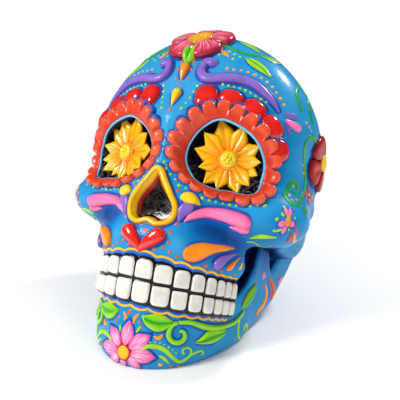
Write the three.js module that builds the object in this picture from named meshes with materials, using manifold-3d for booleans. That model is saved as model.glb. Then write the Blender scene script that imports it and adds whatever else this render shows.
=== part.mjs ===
// A painted sugar skull: a hollow two-piece shell, a lower jaw, lined openings and seated relief ornament.
// Millimetres, +Z up, the face looks along -Y. Places on the skull are angles seen from its middle.
import * as THREE from 'three';
import { mergeVertices } from 'three/addons/utils/BufferGeometryUtils.js';
import Module from 'manifold-3d';

const wasm = await Module();
wasm.setup();

// Stance
const TILT = 19;
const FLOOR_DROP = 240;
const FLAT_DEPTH = 1.5;
const SEAT_GAP = 0.4;
const SINK = 3;

// Head form in the skull's own frame: x to its left, y to its back, z up
const MIDDLE = [0, -90, -60];
const CRANIUM_AT = [0, -62, -31];
const CRANIUM_HALF_WIDTH = 174;
const CRANIUM_FRONT = 90;
const CRANIUM_BACK = 181;
const CRANIUM_HALF_HEIGHT = 175;
const CRANIUM_LEAN = 3.5;
const FACE_AT = [0, -82, -67];
const FACE_SIZE = [113, 80, 100];
const MUZZLE_Y = -40;
const MUZZLE_HALF_WIDTH = 128;
const MUZZLE_REACH = 138;
const MUZZLE_TOP = -128;
const MUZZLE_BOTTOM = -204;
const MUZZLE_REAR = -72;
const MUZZLE_TAPER = 0.13;
const CHEEK_AT = [116, -85, -106];
const CHEEK_SIZE = [65, 54, 39];
const ARCH_FRONT = [134, -69, -104];
const ARCH_REAR = [152, -20, -88];
const ARCH_RADII = [20, 13];
const BROW_MIDDLE = [0, -138, 6];
const BROW_END = [111, -112, -4];
const BROW_RADII = [17, 15];
const NOSE_MOUND_AT = [0, -128, -100];
const NOSE_MOUND_SIZE = [62, 42, 56];
const ORBIT_AT = [58, -190, -36];
const ORBIT_SIZE = [62, 52, 62];
const TEMPLE_AT = [206, -78, -34];
const TEMPLE_SIZE = [44, 56, 46];
const MASTOID_AT = [110, 34, -118];
const MASTOID_SIZE = [34, 54, 46];
// Open room behind the muzzle and under the cheek arch, where the jaw's branch stands free
const ROOM_INNER = 93;
const ROOM_FRONT = -111;
const ROOM_TOP = -144;
const ROOM_SPLAY = 0.25;
const ROOM_LEAN = 0.4;
const ROOM_FALL = 0.233;
const SHELL_WALL = 13;
const SEAM_Y = 30;
const STRIP_WIDTH = 26;
const STRIP_THICKNESS = 6;

// Lower jaw: a tall wall along an arch, with a branch at each end that leans back to its head
const JAW_HALF_WIDTH = 106;
const JAW_REACH = 141;
const JAW_Y = -40;
const JAW_BRANCH_LENGTH = 108;
const JAW_BRANCH_SPLAY = 0.17;
const JAW_WALL_CHIN = 56;
const JAW_WALL_BRANCH = 30;
const JAW_TOP = -206;

// Teeth
const TEETH_HALF_WIDTH = 120;
const TEETH_REACH = 146;
const TEETH_DEPTH = 20;
const TOOTH_WIDTHS = [26, 26, 22, 20, 16, 12, 11, 10];
const TOOTH_GROOVE = 2.6;
const UPPER_TEETH_TOP = -177;
const BITE_HEIGHT = -202;
const BITE_GAP = 0.8;
const LOWER_TEETH_BOTTOM = -231;
const BITE_DROOP = 0.09;

// Openings: angle across, angle up, width of the ring there
const EYE_EDGE = [
  [35.5, 37, 30], [49, 37.5, 31], [61.5, 28.5, 28], [69.5, 19, 25], [74.5, 8, 24], [73.5, -5, 25],
  [69, -10, 20], [61, -11, 16], [50, -12, 15.5], [38, -8.5, 17], [27, 7, 24], [25, 19, 28], [28, 30, 30],
];
const EYE_MIDDLE = [61, 12];
const NOSE_EDGE = [
  [0, -4.5], [9, -14.5], [17.5, -24.5], [23.5, -32.5], [22.5, -39], [11, -43], [0, -40.5],
  [-11, -43], [-22.5, -39], [-23.5, -32.5], [-17.5, -24.5], [-9, -14.5],
];
const NOSE_MIDDLE = [0, -31];
const CUP_WALL = 3.5;
const CUP_SETBACK = 2.5;
const CUP_NECK_SHARE = 0.84;
const EYE_FLOOR = { at: [60, -86, -40], facing: [12, 2], radius: 26 };
const NOSE_FLOOR = { at: [0, -112, -98], facing: [0, -8], radius: 14 };

// Relief heights
const RING_LIP = 3.5;
const RING_HEIGHT = 9;
const RING_SCALLOPS = 20;
const SCALLOP_DEPTH = 11;
const LOBE_COUNT = 5;
const LOBE_REACH = 17;
const LOBE_JOIN = 6;
const LOBE_HEIGHT = 8;
const LOBE_SPAN = [0.955, 1.345];
const NOSE_RIM_WIDTH = 8;
const NOSE_RIM_HEIGHT = 7;
const SCROLL_HEIGHT = 8;
const DROP_HEIGHT = 6;
const SWOOSH_HEIGHT = 8;
const HEART_HEIGHT = 9;
const VINE_HEIGHT = 5;
const LEAF_HEIGHT = 4.5;

// Flowers
const EYE_FLOWER_AT = [78, -126, -41];
const EYE_FLOWER_FACING = [12, 2];
const EYE_FLOWER_PETALS = 12;
const EYE_FLOWER_REACH = 44;
const EYE_FLOWER_WAIST = 27;
const EYE_FLOWER_THICKNESS = 5;
const EYE_FLOWER_CUPPING = 8;
const EYE_FLOWER_RINGS = [0.3, 0.65, 1];
const EYE_FLOWER_FOLD = 1.3;
const EYE_DISC_RADIUS = 12;
const EYE_DISC_HEIGHT = 5;
const STEM_RADIUS = 7;
const CROWN_AT = [0, 84.5];
const CROWN_REACH = 46;
const CROWN_WAIST = 26;
const CROWN_HEIGHT = 12;
const CROWN_DISC_RADIUS = 17;
const SIDE_FLOWER_AT = [105, 13];
const SIDE_FLOWER_REACH = 36;
const SIDE_FLOWER_WAIST = 19;
const SIDE_FLOWER_HEIGHT = 9;
const SIDE_DISC_RADIUS = 11;
const DISC_HEIGHT = 5;
const ROUND_PETALS = 5;
const ROUND_TURN = 18;

// Rear foot
const FOOT_RADIUS = 38;
const FOOT_WALL = 8;
const FOOT_LENGTH = 125;
const FOOT_Y = 30;
const COLLAR_RADIUS = 46;
const COLLAR_TOP = 170;

// Relief strokes on the head: angle across, angle up, half width
const SCROLL = [
  [45, 66.6, 4.2], [38, 69.5, 4.6], [31, 69.7, 5], [27.6, 67.5, 5], [32.4, 64, 5.2], [41, 61.4, 5.4],
  [54, 58, 5.4], [63, 54, 5.3], [70, 48.7, 5], [74, 43, 4.3], [77, 37.6, 3], [79, 32, 0.7],
];
const CROWN_LEAF = [[0, 79, 1], [0, 75.6, 6.8], [0, 72.6, 0.5]];
const ORANGE_DROP = [[0, 71.3, 2], [0, 70, 6.2], [0, 67.5, 5], [0, 64.3, 0.5]];
const YELLOW_DROP = [[0, 60.8, 2], [0, 58.5, 6.3], [0, 54.5, 4.6], [0, 48.3, 0.5]];
const SWOOSH = [[33, -38.4, 0.6], [37.4, -35.4, 4.3], [45, -32, 6], [55, -28.5, 7.4], [62, -25.5, 8.5],
  [67, -24, 9], [69.5, -24.2, 4]];
const SWOOSH_HOOK = [[69.3, -25, 4], [68.6, -27.6, 5], [66.2, -29.2, 2.7], [63.4, -30.5, 0.5]];
const CHEEK_TIP = [[37, -28.5, 1], [33.5, -31.5, 5], [30.5, -35, 4.4], [28.5, -38.3, 0.6]];
const SEED = [[27.5, -26.8, 0.8], [31, -24, 5], [36, -24.2, 6], [40.5, -26, 3.5], [43, -26.5, 0.6]];
const HEART_LOBE = [[16.5, -43.4, 3], [14.5, -44.3, 6.4], [9, -46.4, 5.6], [4, -48.3, 4.6], [-1, -50.3, 1.2]];
const LIP_DROPS = [
  ['orange', 'orange', [[35, -48.6, 3], [38, -48.2, 8.5], [43.5, -47, 10.9], [49.5, -45, 9.8],
    [56.5, -43, 6.1], [64.4, -41, 3.7], [70.7, -39.2, 0.6]]],
  ['purple', 'purple', [[59, -49.8, 2.5], [60.4, -48.6, 5.5], [62.3, -46.6, 6.4], [65.7, -44.5, 4.7],
    [69.5, -42.6, 2.7], [73.5, -41, 0.6]]],
  ['small', 'orange', [[68.8, -48.6, 1.5], [69.6, -47.6, 3.6], [71, -46.2, 3.8], [73, -44.4, 2.2],
    [76.5, -41.6, 0.5]]],
];

// Relief strokes on the jaw: distance round the arch, height, half width
const VINE_STEM = [[62, -247.6, 2.4], [77, -246, 3], [97, -250, 4], [112, -251, 3.7], [130, -249, 3.3],
  [148, -244, 3.1], [161, -235, 2.6], [166, -229.5, 1.8]];
const VINE_CURL = [[63, -247.6, 2.4], [55.6, -251, 3.1], [52.8, -258, 3.2], [53.2, -265, 3.3],
  [58.3, -270.5, 3.3], [65.5, -271.5, 3.2], [71.5, -268, 3], [73, -262, 2.8],
  [69.6, -257.6, 2.5], [65, -258, 2.2]];
const JAW_LEAVES = [
  ['inner', [[20, -246.7, 0.7], [30, -250, 6], [39.4, -250.3, 8.4], [47, -248.8, 6], [53, -247.8, 1.4]]],
  ['outer', [[163, -227, 1.1], [167.5, -219.6, 3.4], [176.4, -212, 5.4], [186, -203, 4.1], [192, -195, 0.5]]],
  ['low', [[131, -254.5, 1.3], [121, -258.5, 6], [108, -262.5, 7.6], [97.4, -267, 3.7], [89.5, -270, 0.5]]],
];

// Facet counts
const HEAD_ROUND = 36;
const HEAD_STACKS = 20;
const CAVITY_ROUND = 16;
const CAVITY_STACKS = 10;
const JAW_SIDES = 8;
const OPENING_SIDES = 20;

const colours = {
  blue: [0x2f9fd6, 0.28], black: [0x14100e, 0.4], orange_red: [0xe2512f, 0.25], red: [0xd81f12, 0.2],
  gold: [0xf0a810, 0.3], yellow: [0xe8c012, 0.28], orange: [0xee7d10, 0.25], purple: [0x7c62b8, 0.3],
  pink: [0xf87aa8, 0.28], crimson: [0xc93455, 0.25], lime: [0x97cc12, 0.28], green: [0x57b81a, 0.28],
  ivory: [0xdedad0, 0.25], resin: [0x6f6a5c, 0.6],
};

const rad = THREE.MathUtils.degToRad;
const clamp = THREE.MathUtils.clamp;
const middle = new THREE.Vector3(...MIDDLE);

// Rounded joins between simple distances
function smoothMin(a, b, k) {
  const h = clamp(0.5 + (0.5 * (b - a)) / k, 0, 1);
  return b + (a - b) * h - k * h * (1 - h);
}
const smoothMax = (a, b, k) => -smoothMin(-a, -b, k);

function ellipsoid(x, y, z, at, size) {
  const [px, py, pz] = [x - at[0], y - at[1], z - at[2]];
  const near = Math.hypot(px / size[0], py / size[1], pz / size[2]);
  const slope = Math.hypot(px / size[0] ** 2, py / size[1] ** 2, pz / size[2] ** 2) + 1e-9;
  return (near * (near - 1)) / slope;
}

function bar(x, y, z, from, to, radii) {
  const run = to.map((v, i) => v - from[i]);
  const rel = [x - from[0], y - from[1], z - from[2]];
  const length2 = run[0] ** 2 + run[1] ** 2 + run[2] ** 2;
  const t = clamp((rel[0] * run[0] + rel[1] * run[1] + rel[2] * run[2]) / length2, 0, 1);
  const gap = Math.hypot(rel[0] - t * run[0], rel[1] - t * run[1], rel[2] - t * run[2]);
  return gap - THREE.MathUtils.lerp(radii[0], radii[1], t);
}

function cranium(x, y, z) {
  const [c, s] = [Math.cos(rad(CRANIUM_LEAN)), Math.sin(rad(CRANIUM_LEAN))];
  const [py, pz] = [y - CRANIUM_AT[1], z - CRANIUM_AT[2]];
  const along = c * py + s * pz;
  const up = -s * py + c * pz;
  const depth = along > 0 ? CRANIUM_BACK : CRANIUM_FRONT;
  return ellipsoid(x, along, up, [0, 0, 0], [CRANIUM_HALF_WIDTH, depth, CRANIUM_HALF_HEIGHT]);
}

function muzzle(x, y, z) {
  const narrow = 1 - MUZZLE_TAPER * THREE.MathUtils.smoothstep(-z, -MUZZLE_BOTTOM - 36, -MUZZLE_BOTTOM - 6);
  const half = (MUZZLE_TOP - MUZZLE_BOTTOM) / 2;
  const wall = ellipsoid(x / narrow, y, 0, [0, MUZZLE_Y, 0], [MUZZLE_HALF_WIDTH, MUZZLE_REACH, half]);
  const ends = smoothMax(wall, Math.abs(z - MUZZLE_TOP + half) - half, 26);
  return smoothMax(ends, y - MUZZLE_REAR - 0.25 * (z - MUZZLE_BOTTOM), 16);
}

// Distance to the whole head, less than zero inside
function headDistance(sx, y, z) {
  const x = Math.abs(sx);
  let d = smoothMin(cranium(x, y, z), ellipsoid(x, y, z, FACE_AT, FACE_SIZE), 36);
  d = smoothMin(d, muzzle(x, y, z), 30);
  d = smoothMin(d, ellipsoid(x, y, z, CHEEK_AT, CHEEK_SIZE), 22);
  d = smoothMin(d, bar(x, y, z, ARCH_FRONT, ARCH_REAR, ARCH_RADII), 16);
  d = smoothMin(d, bar(x, y, z, BROW_MIDDLE, BROW_END, BROW_RADII), 24);
  d = smoothMin(d, ellipsoid(x, y, z, NOSE_MOUND_AT, NOSE_MOUND_SIZE), 14);
  d = smoothMin(d, ellipsoid(x, y, z, MASTOID_AT, MASTOID_SIZE), 24);
  d = smoothMax(d, -ellipsoid(x, y, z, TEMPLE_AT, TEMPLE_SIZE), 30);
  return smoothMax(d, -ellipsoid(x, y, z, ORBIT_AT, ORBIT_SIZE), 14);
}

// Radius of the head along a direction from its middle, at a given distance from the true surface
function headRadius(dir, offset = 0) {
  let r = 2.2 * CRANIUM_BACK;
  for (let i = 0; i < 120; i++) {
    const d = headDistance(MIDDLE[0] + dir.x * r, MIDDLE[1] + dir.y * r, MIDDLE[2] + dir.z * r) - offset;
    if (d < 0.01) break;
    r -= Math.max(0.85 * d, 0.01);
  }
  return r;
}

function direction(across, up) {
  const flat = Math.cos(rad(up));
  return new THREE.Vector3(Math.sin(rad(across)) * flat, -Math.cos(rad(across)) * flat, Math.sin(rad(up)));
}

const along = (dir, r) => middle.clone().addScaledVector(dir, r);

function headNormal(p) {
  const e = 0.5;
  const slope = (dx, dy, dz) =>
    headDistance(p.x + dx, p.y + dy, p.z + dz) - headDistance(p.x - dx, p.y - dy, p.z - dz);
  return new THREE.Vector3(slope(e, 0, 0), slope(0, e, 0), slope(0, 0, e)).normalize();
}

// A skin turns a place into a point, and brings a loose point to its surface with a height above it
const headSkin = {
  place: (across, up) => headSkin.settle(along(direction(across, up), 1), 0),
  settle(p, height) {
    const dir = p.clone().sub(middle).normalize();
    const q = along(dir, headRadius(dir));
    return q.addScaledVector(headNormal(q), height);
  },
};

// Jaw arch in plan: half an oval in front, then two straight branches
const jawArch = new THREE.CurvePath();
jawArch.add(new THREE.EllipseCurve(0, JAW_Y, JAW_HALF_WIDTH, JAW_REACH, -Math.PI / 2, 0));
jawArch.add(new THREE.LineCurve(
  new THREE.Vector2(JAW_HALF_WIDTH, JAW_Y),
  new THREE.Vector2(JAW_HALF_WIDTH + JAW_BRANCH_SPLAY * JAW_BRANCH_LENGTH, JAW_Y + JAW_BRANCH_LENGTH),
));
const JAW_LENGTH = jawArch.getLength();
const floorHeight = (y) => (-FLOOR_DROP + y * Math.sin(rad(TILT))) / Math.cos(rad(TILT));

function profile(t, stops) {
  let i = 1;
  while (i < stops.length - 1 && t > stops[i][0]) i++;
  const [a, b] = [stops[i - 1], stops[i]];
  return THREE.MathUtils.lerp(a[1], b[1], clamp((t - a[0]) / (b[0] - a[0]), 0, 1));
}
// Lower edge of a branch, then the upper edge with the front horn, the notch and the jaw's own joint head
const branchBottom = [[0, floorHeight(JAW_Y)], [18, -254], [60, -222], [90, -184], [108, -152]];
const branchTop = [[-40, JAW_TOP], [-22, -192], [-5, -168], [2, -128], [24, -124], [34, -160], [44, -176],
  [64, -152], [76, -136], [100, -137], [108, -148]];

const jawWalls = [[-JAW_REACH, JAW_WALL_CHIN], [0, JAW_WALL_BRANCH + 4], [JAW_BRANCH_LENGTH, JAW_WALL_BRANCH]];

// Cross-section sizes of the jaw at a distance round its arch
function jawSection(distance) {
  const u = clamp(Math.abs(distance) / JAW_LENGTH, 0, 1);
  const point = jawArch.getPointAt(u);
  const run = jawArch.getTangentAt(u);
  const back = point.y - JAW_Y;
  const bottom = back < 0 ? floorHeight(point.y) : profile(back, branchBottom);
  const top = back < -40 ? JAW_TOP : profile(back, branchTop);
  const wall = profile(back, jawWalls);
  return { point, out: new THREE.Vector2(run.y, -run.x), bottom, top, wall, side: distance < 0 ? -1 : 1 };
}

function jawPoint(section, offset, z) {
  const flat = section.point.clone().addScaledVector(section.out, offset);
  return new THREE.Vector3(section.side * flat.x, flat.y, z);
}

const jawSkin = {
  place: (distance, z, height = 0) => {
    const section = jawSection(distance);
    const w = clamp((2 * z - section.top - section.bottom) / (section.top - section.bottom), -1, 1);
    const inset = (section.wall / 2) * ((1 - Math.abs(w) ** 5) ** 0.25 - 1);
    return jawPoint(section, inset + height, z);
  },
  settle(p, height) {
    const x = Math.abs(p.x);
    let best = [Infinity, 0];
    for (let i = 0; i <= 320; i++) {
      const q = jawArch.getPointAt(i / 320);
      const gap = Math.hypot(q.x - x, q.y - p.y);
      if (gap < best[0]) best = [gap, (i / 320) * JAW_LENGTH];
    }
    return jawSkin.place(p.x < 0 ? -best[1] : best[1], p.z, height);
  },
};

// Closed solids
function solid(points, triangles) {
  const vertProperties = new Float32Array(points.flatMap((p) => [p.x, p.y, p.z]));
  const make = (list) =>
    new wasm.Manifold(new wasm.Mesh({ numProp: 3, vertProperties, triVerts: new Uint32Array(list) }));
  const made = make(triangles);
  return made.volume() > 0 ? made : make(triangles.toReversed());
}

function solidOf(geometry) {
  const bare = geometry.clone();
  bare.deleteAttribute('normal');
  bare.deleteAttribute('uv');
  const merged = mergeVertices(bare);
  const position = merged.getAttribute('position');
  const points = [];
  for (let i = 0; i < position.count; i++) points.push(new THREE.Vector3().fromBufferAttribute(position, i));
  return solid(points, Array.from(merged.index.array));
}

// Skin over a row of equal loops, closed round a ring or capped at both ends
function loft(loops, ring = false) {
  const count = loops[0].length;
  const triangles = [];
  const spans = ring ? loops.length : loops.length - 1;
  for (let i = 0; i < spans; i++) {
    const a = i * count;
    const b = ((i + 1) % loops.length) * count;
    for (let j = 0; j < count; j++) {
      const k = (j + 1) % count;
      triangles.push(a + j, b + j, b + k, a + j, b + k, a + k);
    }
  }
  const end = (loops.length - 1) * count;
  for (let j = 1; j < count - 1 && !ring; j++) {
    triangles.push(0, j, j + 1);
    triangles.push(end, end + j + 1, end + j);
  }
  return solid(loops.flat(), triangles);
}

// The head as a displaced ball, grown or shrunk from its true surface
function headSolid(offset, growth, round, stacks) {
  const ball = new THREE.SphereGeometry(1, round, stacks).rotateX(Math.PI / 2);
  const position = ball.getAttribute('position');
  for (let i = 0; i < position.count; i++) {
    const dir = new THREE.Vector3().fromBufferAttribute(position, i).normalize();
    const p = along(dir, headRadius(dir, offset) + growth);
    position.setXYZ(i, p.x, p.y, p.z);
  }
  return solidOf(ball);
}

// Stations along a stroke on a skin: point, side direction and half width
function stations(skin, stroke, steps, closed = false) {
  const knots = stroke.map((c) => new THREE.Vector3(c[0], c[1], c[2] ?? 0));
  const curve = new THREE.CatmullRomCurve3(knots, closed, 'centripetal');
  const places = curve.getSpacedPoints(steps);
  if (closed) places.pop();
  const points = places.map((c) => skin.place(c.x, c.y));
  return points.map((p, i) => {
    const count = points.length;
    const next = points[closed ? (i + 1) % count : Math.min(i + 1, count - 1)];
    const last = points[closed ? (i + count - 1) % count : Math.max(i - 1, 0)];
    const up = skin.settle(p, 1).sub(p).normalize();
    const side = next.clone().sub(last).cross(up).normalize();
    return { p, side, half: places[i].z };
  });
}

const loopOn = (skin, station, outline) =>
  outline.map(([across, height]) =>
    skin.settle(station.p.clone().addScaledVector(station.side, across), height));

// A rounded stroke lying on a skin, sunk into it so that it can be cut to seat
function stroke(skin, places, height, steps = 10, grow = 0) {
  const row = stations(skin, places, steps);
  return loft(row.map((s) => {
    const w = s.half + grow;
    const h = Math.min(height, 0.9 * s.half + 1.5) + grow;
    return loopOn(skin, s, [[-1.15 * w, -SINK], [-0.55 * w, h], [0.55 * w, h], [1.15 * w, -SINK]]);
  }));
}

// A rounded pad about a middle point: outline and rise as functions of the angle round it
function pad(lay, rim, rise, rings, steps, underside) {
  const round = (share, height) => Array.from({ length: steps }, (_, i) => {
    const turn = (2 * Math.PI * i) / steps;
    const reach = share * rim(turn);
    return lay(reach * Math.cos(turn), reach * Math.sin(turn), height(share, turn));
  });
  return loft([...rings.map((share) => round(share, rise)), round(1, underside), round(rings[0], underside)]);
}

// Flat frame at a point, with its first axis along the skull's left
function frameAt(point, up) {
  const across = new THREE.Vector3(0, 1, 0).cross(up);
  if (across.length() < 0.3) across.set(1, 0, 0);
  across.addScaledVector(up, -across.dot(up)).normalize();
  return { point, up, across, rise: up.clone().cross(across) };
}

const flatLay = (f) => (u, v, h) =>
  f.point.clone().addScaledVector(f.across, u).addScaledVector(f.rise, v).addScaledVector(f.up, h);
const skinLay = (f, skin) => (u, v, h) => skin.settle(flatLay(f)(u, v, 0), h);

function mirrored(made) {
  const mesh = made.getMesh();
  const v = mesh.vertProperties;
  const points = [];
  for (let i = 0; i < v.length; i += 3) points.push(new THREE.Vector3(-v[i], v[i + 1], v[i + 2]));
  return solid(points, Array.from(mesh.triVerts));
}

// Shapes that stand upright on the floor, as seen in the skull's tilted frame
const tilted = (geometry) => solidOf(geometry.rotateX(rad(TILT)));
const BIG = 1000;
const floorLevel = FLAT_DEPTH - FLOOR_DROP;
const belowFloor = tilted(new THREE.BoxGeometry(BIG, BIG, BIG).translate(0, 0, floorLevel - BIG / 2));

const group = new THREE.Group();
const skull = new THREE.Group();
group.add(skull);
function addPiece(name, made, colour) {
  const mesh = made.getMesh();
  const geometry = new THREE.BufferGeometry();
  geometry.setAttribute('position', new THREE.BufferAttribute(mesh.vertProperties, 3));
  geometry.setIndex(new THREE.BufferAttribute(mesh.triVerts, 1));
  const [hex, roughness] = colours[colour];
  const material = new THREE.MeshStandardMaterial({ color: hex, roughness, metalness: 0 });
  const piece = new THREE.Mesh(geometry, material);
  piece.name = name;
  skull.add(piece);
}
const bothSides = (name, left, cut, colour) => {
  addPiece(`${name}_l`, cut(left), colour);
  addPiece(`${name}_r`, cut(mirrored(left)), colour);
};

// Head shells
function jawRoom(grow) {
  const top = ROOM_TOP + grow;
  const low = ROOM_TOP - BIG / 5;
  const rear = JAW_Y + BIG / 5;
  const front = (z) => ROOM_FRONT - ROOM_LEAN * (z - ROOM_TOP) - grow * Math.hypot(1, ROOM_LEAN);
  const outline = [[front(low), low], [front(top), top], [JAW_Y, top],
    [rear, top - ROOM_FALL * (rear - JAW_Y)], [rear, low]];
  const shape = new THREE.Shape(outline.map(([y, z]) => new THREE.Vector2(y, z)));
  const geometry = new THREE.ExtrudeGeometry(shape, { depth: BIG / 5, bevelEnabled: false });
  const position = geometry.getAttribute('position');
  for (let i = 0; i < position.count; i++) {
    const [y, z, out] = [position.getX(i), position.getY(i), position.getZ(i)];
    const inner = ROOM_INNER + ROOM_SPLAY * (y - JAW_Y) - grow * Math.hypot(1, ROOM_SPLAY);
    position.setXYZ(i, inner + out, y, z);
  }
  const room = solidOf(geometry);
  return room.add(mirrored(room));
}
const head = headSolid(0, 0, HEAD_ROUND, HEAD_STACKS).subtract(jawRoom(0));
const headGrown = headSolid(0, SEAT_GAP, HEAD_ROUND, HEAD_STACKS).subtract(jawRoom(-SEAT_GAP));
const cavity = headSolid(-SHELL_WALL, 0, CAVITY_ROUND, CAVITY_STACKS).subtract(jawRoom(SHELL_WALL));
const ontoHead = (made) => made.subtract(headGrown);

// Point of an opening's edge, seen from the middle of the skull and moved in toward the opening's axis
function edgeRay(s, axis, inset) {
  const ray = s.p.clone().sub(middle);
  const toward = axis.clone().multiplyScalar(ray.length() / axis.dot(ray.clone().normalize())).sub(ray);
  return ray.addScaledVector(toward.normalize(), inset);
}

// Prism from the middle of the skull through an opening
function openingCutter(edge, at, inset = 0) {
  const rays = stations(headSkin, edge, OPENING_SIDES, true).map((s) => edgeRay(s, direction(...at), inset));
  return loft([0.3, 1.4].map((share) => rays.map((ray) => middle.clone().addScaledVector(ray, share))));
}

// Cup that lines an opening down to a flat floor disc, and the plug that makes room for it in the shell
function openingCup(edge, at, floor) {
  const row = stations(headSkin, edge, OPENING_SIDES, true);
  const dir = direction(...at);
  const f = frameAt(new THREE.Vector3(...floor.at), direction(...floor.facing));
  const disc = (radius, drop) => row.map((s) => {
    const rel = s.p.clone().sub(f.point);
    const turn = Math.atan2(rel.dot(f.rise), rel.dot(f.across));
    return flatLay(f)(radius * Math.cos(turn), radius * Math.sin(turn), -drop);
  });
  const wallLoop = (inset, share) => row.map((s) => {
    const ray = edgeRay(s, dir, inset).normalize();
    return along(ray, share * (headRadius(ray) - CUP_SETBACK));
  });
  const neck = (inset) => wallLoop(inset, CUP_NECK_SHARE);
  const lining = SEAT_GAP + CUP_WALL;
  const spare = CUP_WALL + 2 * SEAT_GAP;
  const outside = [disc(floor.radius + CUP_WALL, CUP_WALL), neck(SEAT_GAP), wallLoop(SEAT_GAP, 1)];
  const inside = [wallLoop(lining, 1), neck(lining), disc(floor.radius, 0)];
  const room = [disc(floor.radius + spare, spare), neck(-SEAT_GAP), wallLoop(-SEAT_GAP, 0.9)];
  return { cup: loft([...outside, ...inside]), plug: loft(room) };
}

const eyeCut = openingCutter(EYE_EDGE, EYE_MIDDLE);
const noseCut = openingCutter(NOSE_EDGE, NOSE_MIDDLE);
const insideEye = openingCutter(EYE_EDGE, EYE_MIDDLE, CUP_WALL + 3 * SEAT_GAP);
const eyeLining = openingCup(EYE_EDGE, EYE_MIDDLE, EYE_FLOOR);
const noseLining = openingCup(NOSE_EDGE, NOSE_MIDDLE, NOSE_FLOOR);
const halfShift = (SEAT_GAP + BIG) / 2;
const frontHalf = solidOf(new THREE.BoxGeometry(BIG, BIG, BIG).translate(0, SEAM_Y - halfShift, 0));
const rearHalf = solidOf(new THREE.BoxGeometry(BIG, BIG, BIG).translate(0, SEAM_Y + halfShift, 0));
const upright = (radius, low, high) => tilted(new THREE.CylinderGeometry(radius, radius, high - low, 20)
  .rotateX(Math.PI / 2).translate(0, FOOT_Y, floorLevel + (low + high) / 2));
const footBore = upright(FOOT_RADIUS - FOOT_WALL, -FOOT_WALL, FOOT_LENGTH + FOOT_WALL);
const hollow = head.subtract(cavity);
const eyeRoom = eyeCut.add(eyeLining.plug);
const noseRoom = noseCut.add(noseLining.plug);
addPiece('face_shell', hollow.intersect(frontHalf).subtract(eyeRoom).subtract(mirrored(eyeRoom))
  .subtract(noseRoom).subtract(footBore), 'blue');
addPiece('rear_shell', hollow.intersect(rearHalf)
  .subtract(upright(COLLAR_RADIUS + SEAT_GAP, -FOOT_WALL, COLLAR_TOP + SEAT_GAP)), 'blue');

// Collar let into the base of the rear shell, round the bore
addPiece('neck_collar', hollow.intersect(upright(COLLAR_RADIUS, -FOOT_WALL, COLLAR_TOP)).subtract(footBore), 'blue');

// Strip bonded inside across the seam of the two shells
const seamSlab = solidOf(new THREE.BoxGeometry(BIG, STRIP_WIDTH, BIG).translate(0, SEAM_Y, 0));
const stripOuter = headSolid(-SHELL_WALL, -SEAT_GAP, CAVITY_ROUND, CAVITY_STACKS)
  .subtract(jawRoom(SHELL_WALL + SEAT_GAP));
const stripInner = headSolid(-SHELL_WALL, -SEAT_GAP - STRIP_THICKNESS, CAVITY_ROUND, CAVITY_STACKS)
  .subtract(jawRoom(SHELL_WALL + SEAT_GAP + STRIP_THICKNESS));
const footClear = upright(FOOT_RADIUS, -FOOT_WALL, FOOT_LENGTH + FOOT_WALL);
addPiece('seam_strip', stripOuter.subtract(stripInner).intersect(seamSlab).subtract(footClear), 'resin');

// Rear foot: a short open neck from the base of the shell to the floor
const footOuter = upright(FOOT_RADIUS, 0, FOOT_LENGTH);
addPiece('neck_foot', ontoHead(footOuter.subtract(footBore)), 'blue');

// Lower jaw, its underside flat on the floor
const jawSteps = [];
for (let i = 0; i <= 7; i++) jawSteps.push((i / 7) * (JAW_LENGTH - JAW_BRANCH_LENGTH - 44));
for (let i = 1; i <= 11; i++) jawSteps.push(JAW_LENGTH - (1 - i / 11) * (JAW_BRANCH_LENGTH + 44));
const jawLoops = (grow) => {
  const rows = [...jawSteps.slice(1).reverse().map((s) => -s), ...jawSteps];
  return rows.map((distance) => {
    const section = jawSection(distance);
    return Array.from({ length: JAW_SIDES }, (_, i) => {
      const turn = (2 * Math.PI * (i + 0.5)) / JAW_SIDES;
      const [c, s] = [Math.cos(turn), Math.sin(turn)];
      const inset = (section.wall / 2) * (Math.sign(c) * Math.abs(c) ** 0.5 - 1) + Math.sign(c) * grow;
      const half = (section.top - section.bottom) / 2 + grow;
      const z = (section.top + section.bottom) / 2 + half * Math.sign(s) * Math.abs(s) ** 0.4;
      return jawPoint(section, inset, z);
    });
  });
};
const jaw = loft(jawLoops(0));
const jawGrown = loft(jawLoops(SEAT_GAP));
addPiece('lower_jaw', ontoHead(jaw).subtract(belowFloor), 'blue');
const ontoJaw = (made) => made.subtract(jawGrown);

// Teeth: one row cast together, each tooth bowed between two grooves
const toothArch = new THREE.EllipseCurve(0, JAW_Y, TEETH_HALF_WIDTH, TEETH_REACH, -Math.PI / 2, 0);
const toothArchLength = toothArch.getLength();
function teethRow(topOf, bottomOf) {
  const edges = [0];
  for (const width of TOOTH_WIDTHS) edges.push(edges.at(-1) + width);
  const half = [];
  for (let i = 0; i < TOOTH_WIDTHS.length; i++)
    for (const [share, back] of [[0.28, 0], [0.72, 0], [1, TOOTH_GROOVE]])
      half.push([THREE.MathUtils.lerp(edges[i], edges[i + 1], share), back]);
  const rows = [...half.toReversed().map(([s, back]) => [-s, back]), [0, TOOTH_GROOVE], ...half];
  return loft(rows.map(([s, back]) => {
    const u = Math.abs(s) / toothArchLength;
    const point = toothArch.getPointAt(u);
    const run = toothArch.getTangentAt(u);
    const section = { point, out: new THREE.Vector2(run.y, -run.x), side: s < 0 ? -1 : 1 };
    const droop = BITE_DROOP * Math.abs(s);
    const [top, bottom] = [topOf - droop - back, bottomOf - droop + back];
    return [[-back, top], [-back, bottom], [-TEETH_DEPTH, bottom], [-TEETH_DEPTH, top]]
      .map(([offset, z]) => jawPoint(section, offset, z));
  }));
}
const upperTeeth = teethRow(UPPER_TEETH_TOP, BITE_HEIGHT + BITE_GAP / 2);
const lowerTeeth = teethRow(BITE_HEIGHT - BITE_GAP / 2, LOWER_TEETH_BOTTOM);
addPiece('upper_teeth', ontoJaw(ontoHead(upperTeeth)), 'ivory');
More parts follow.
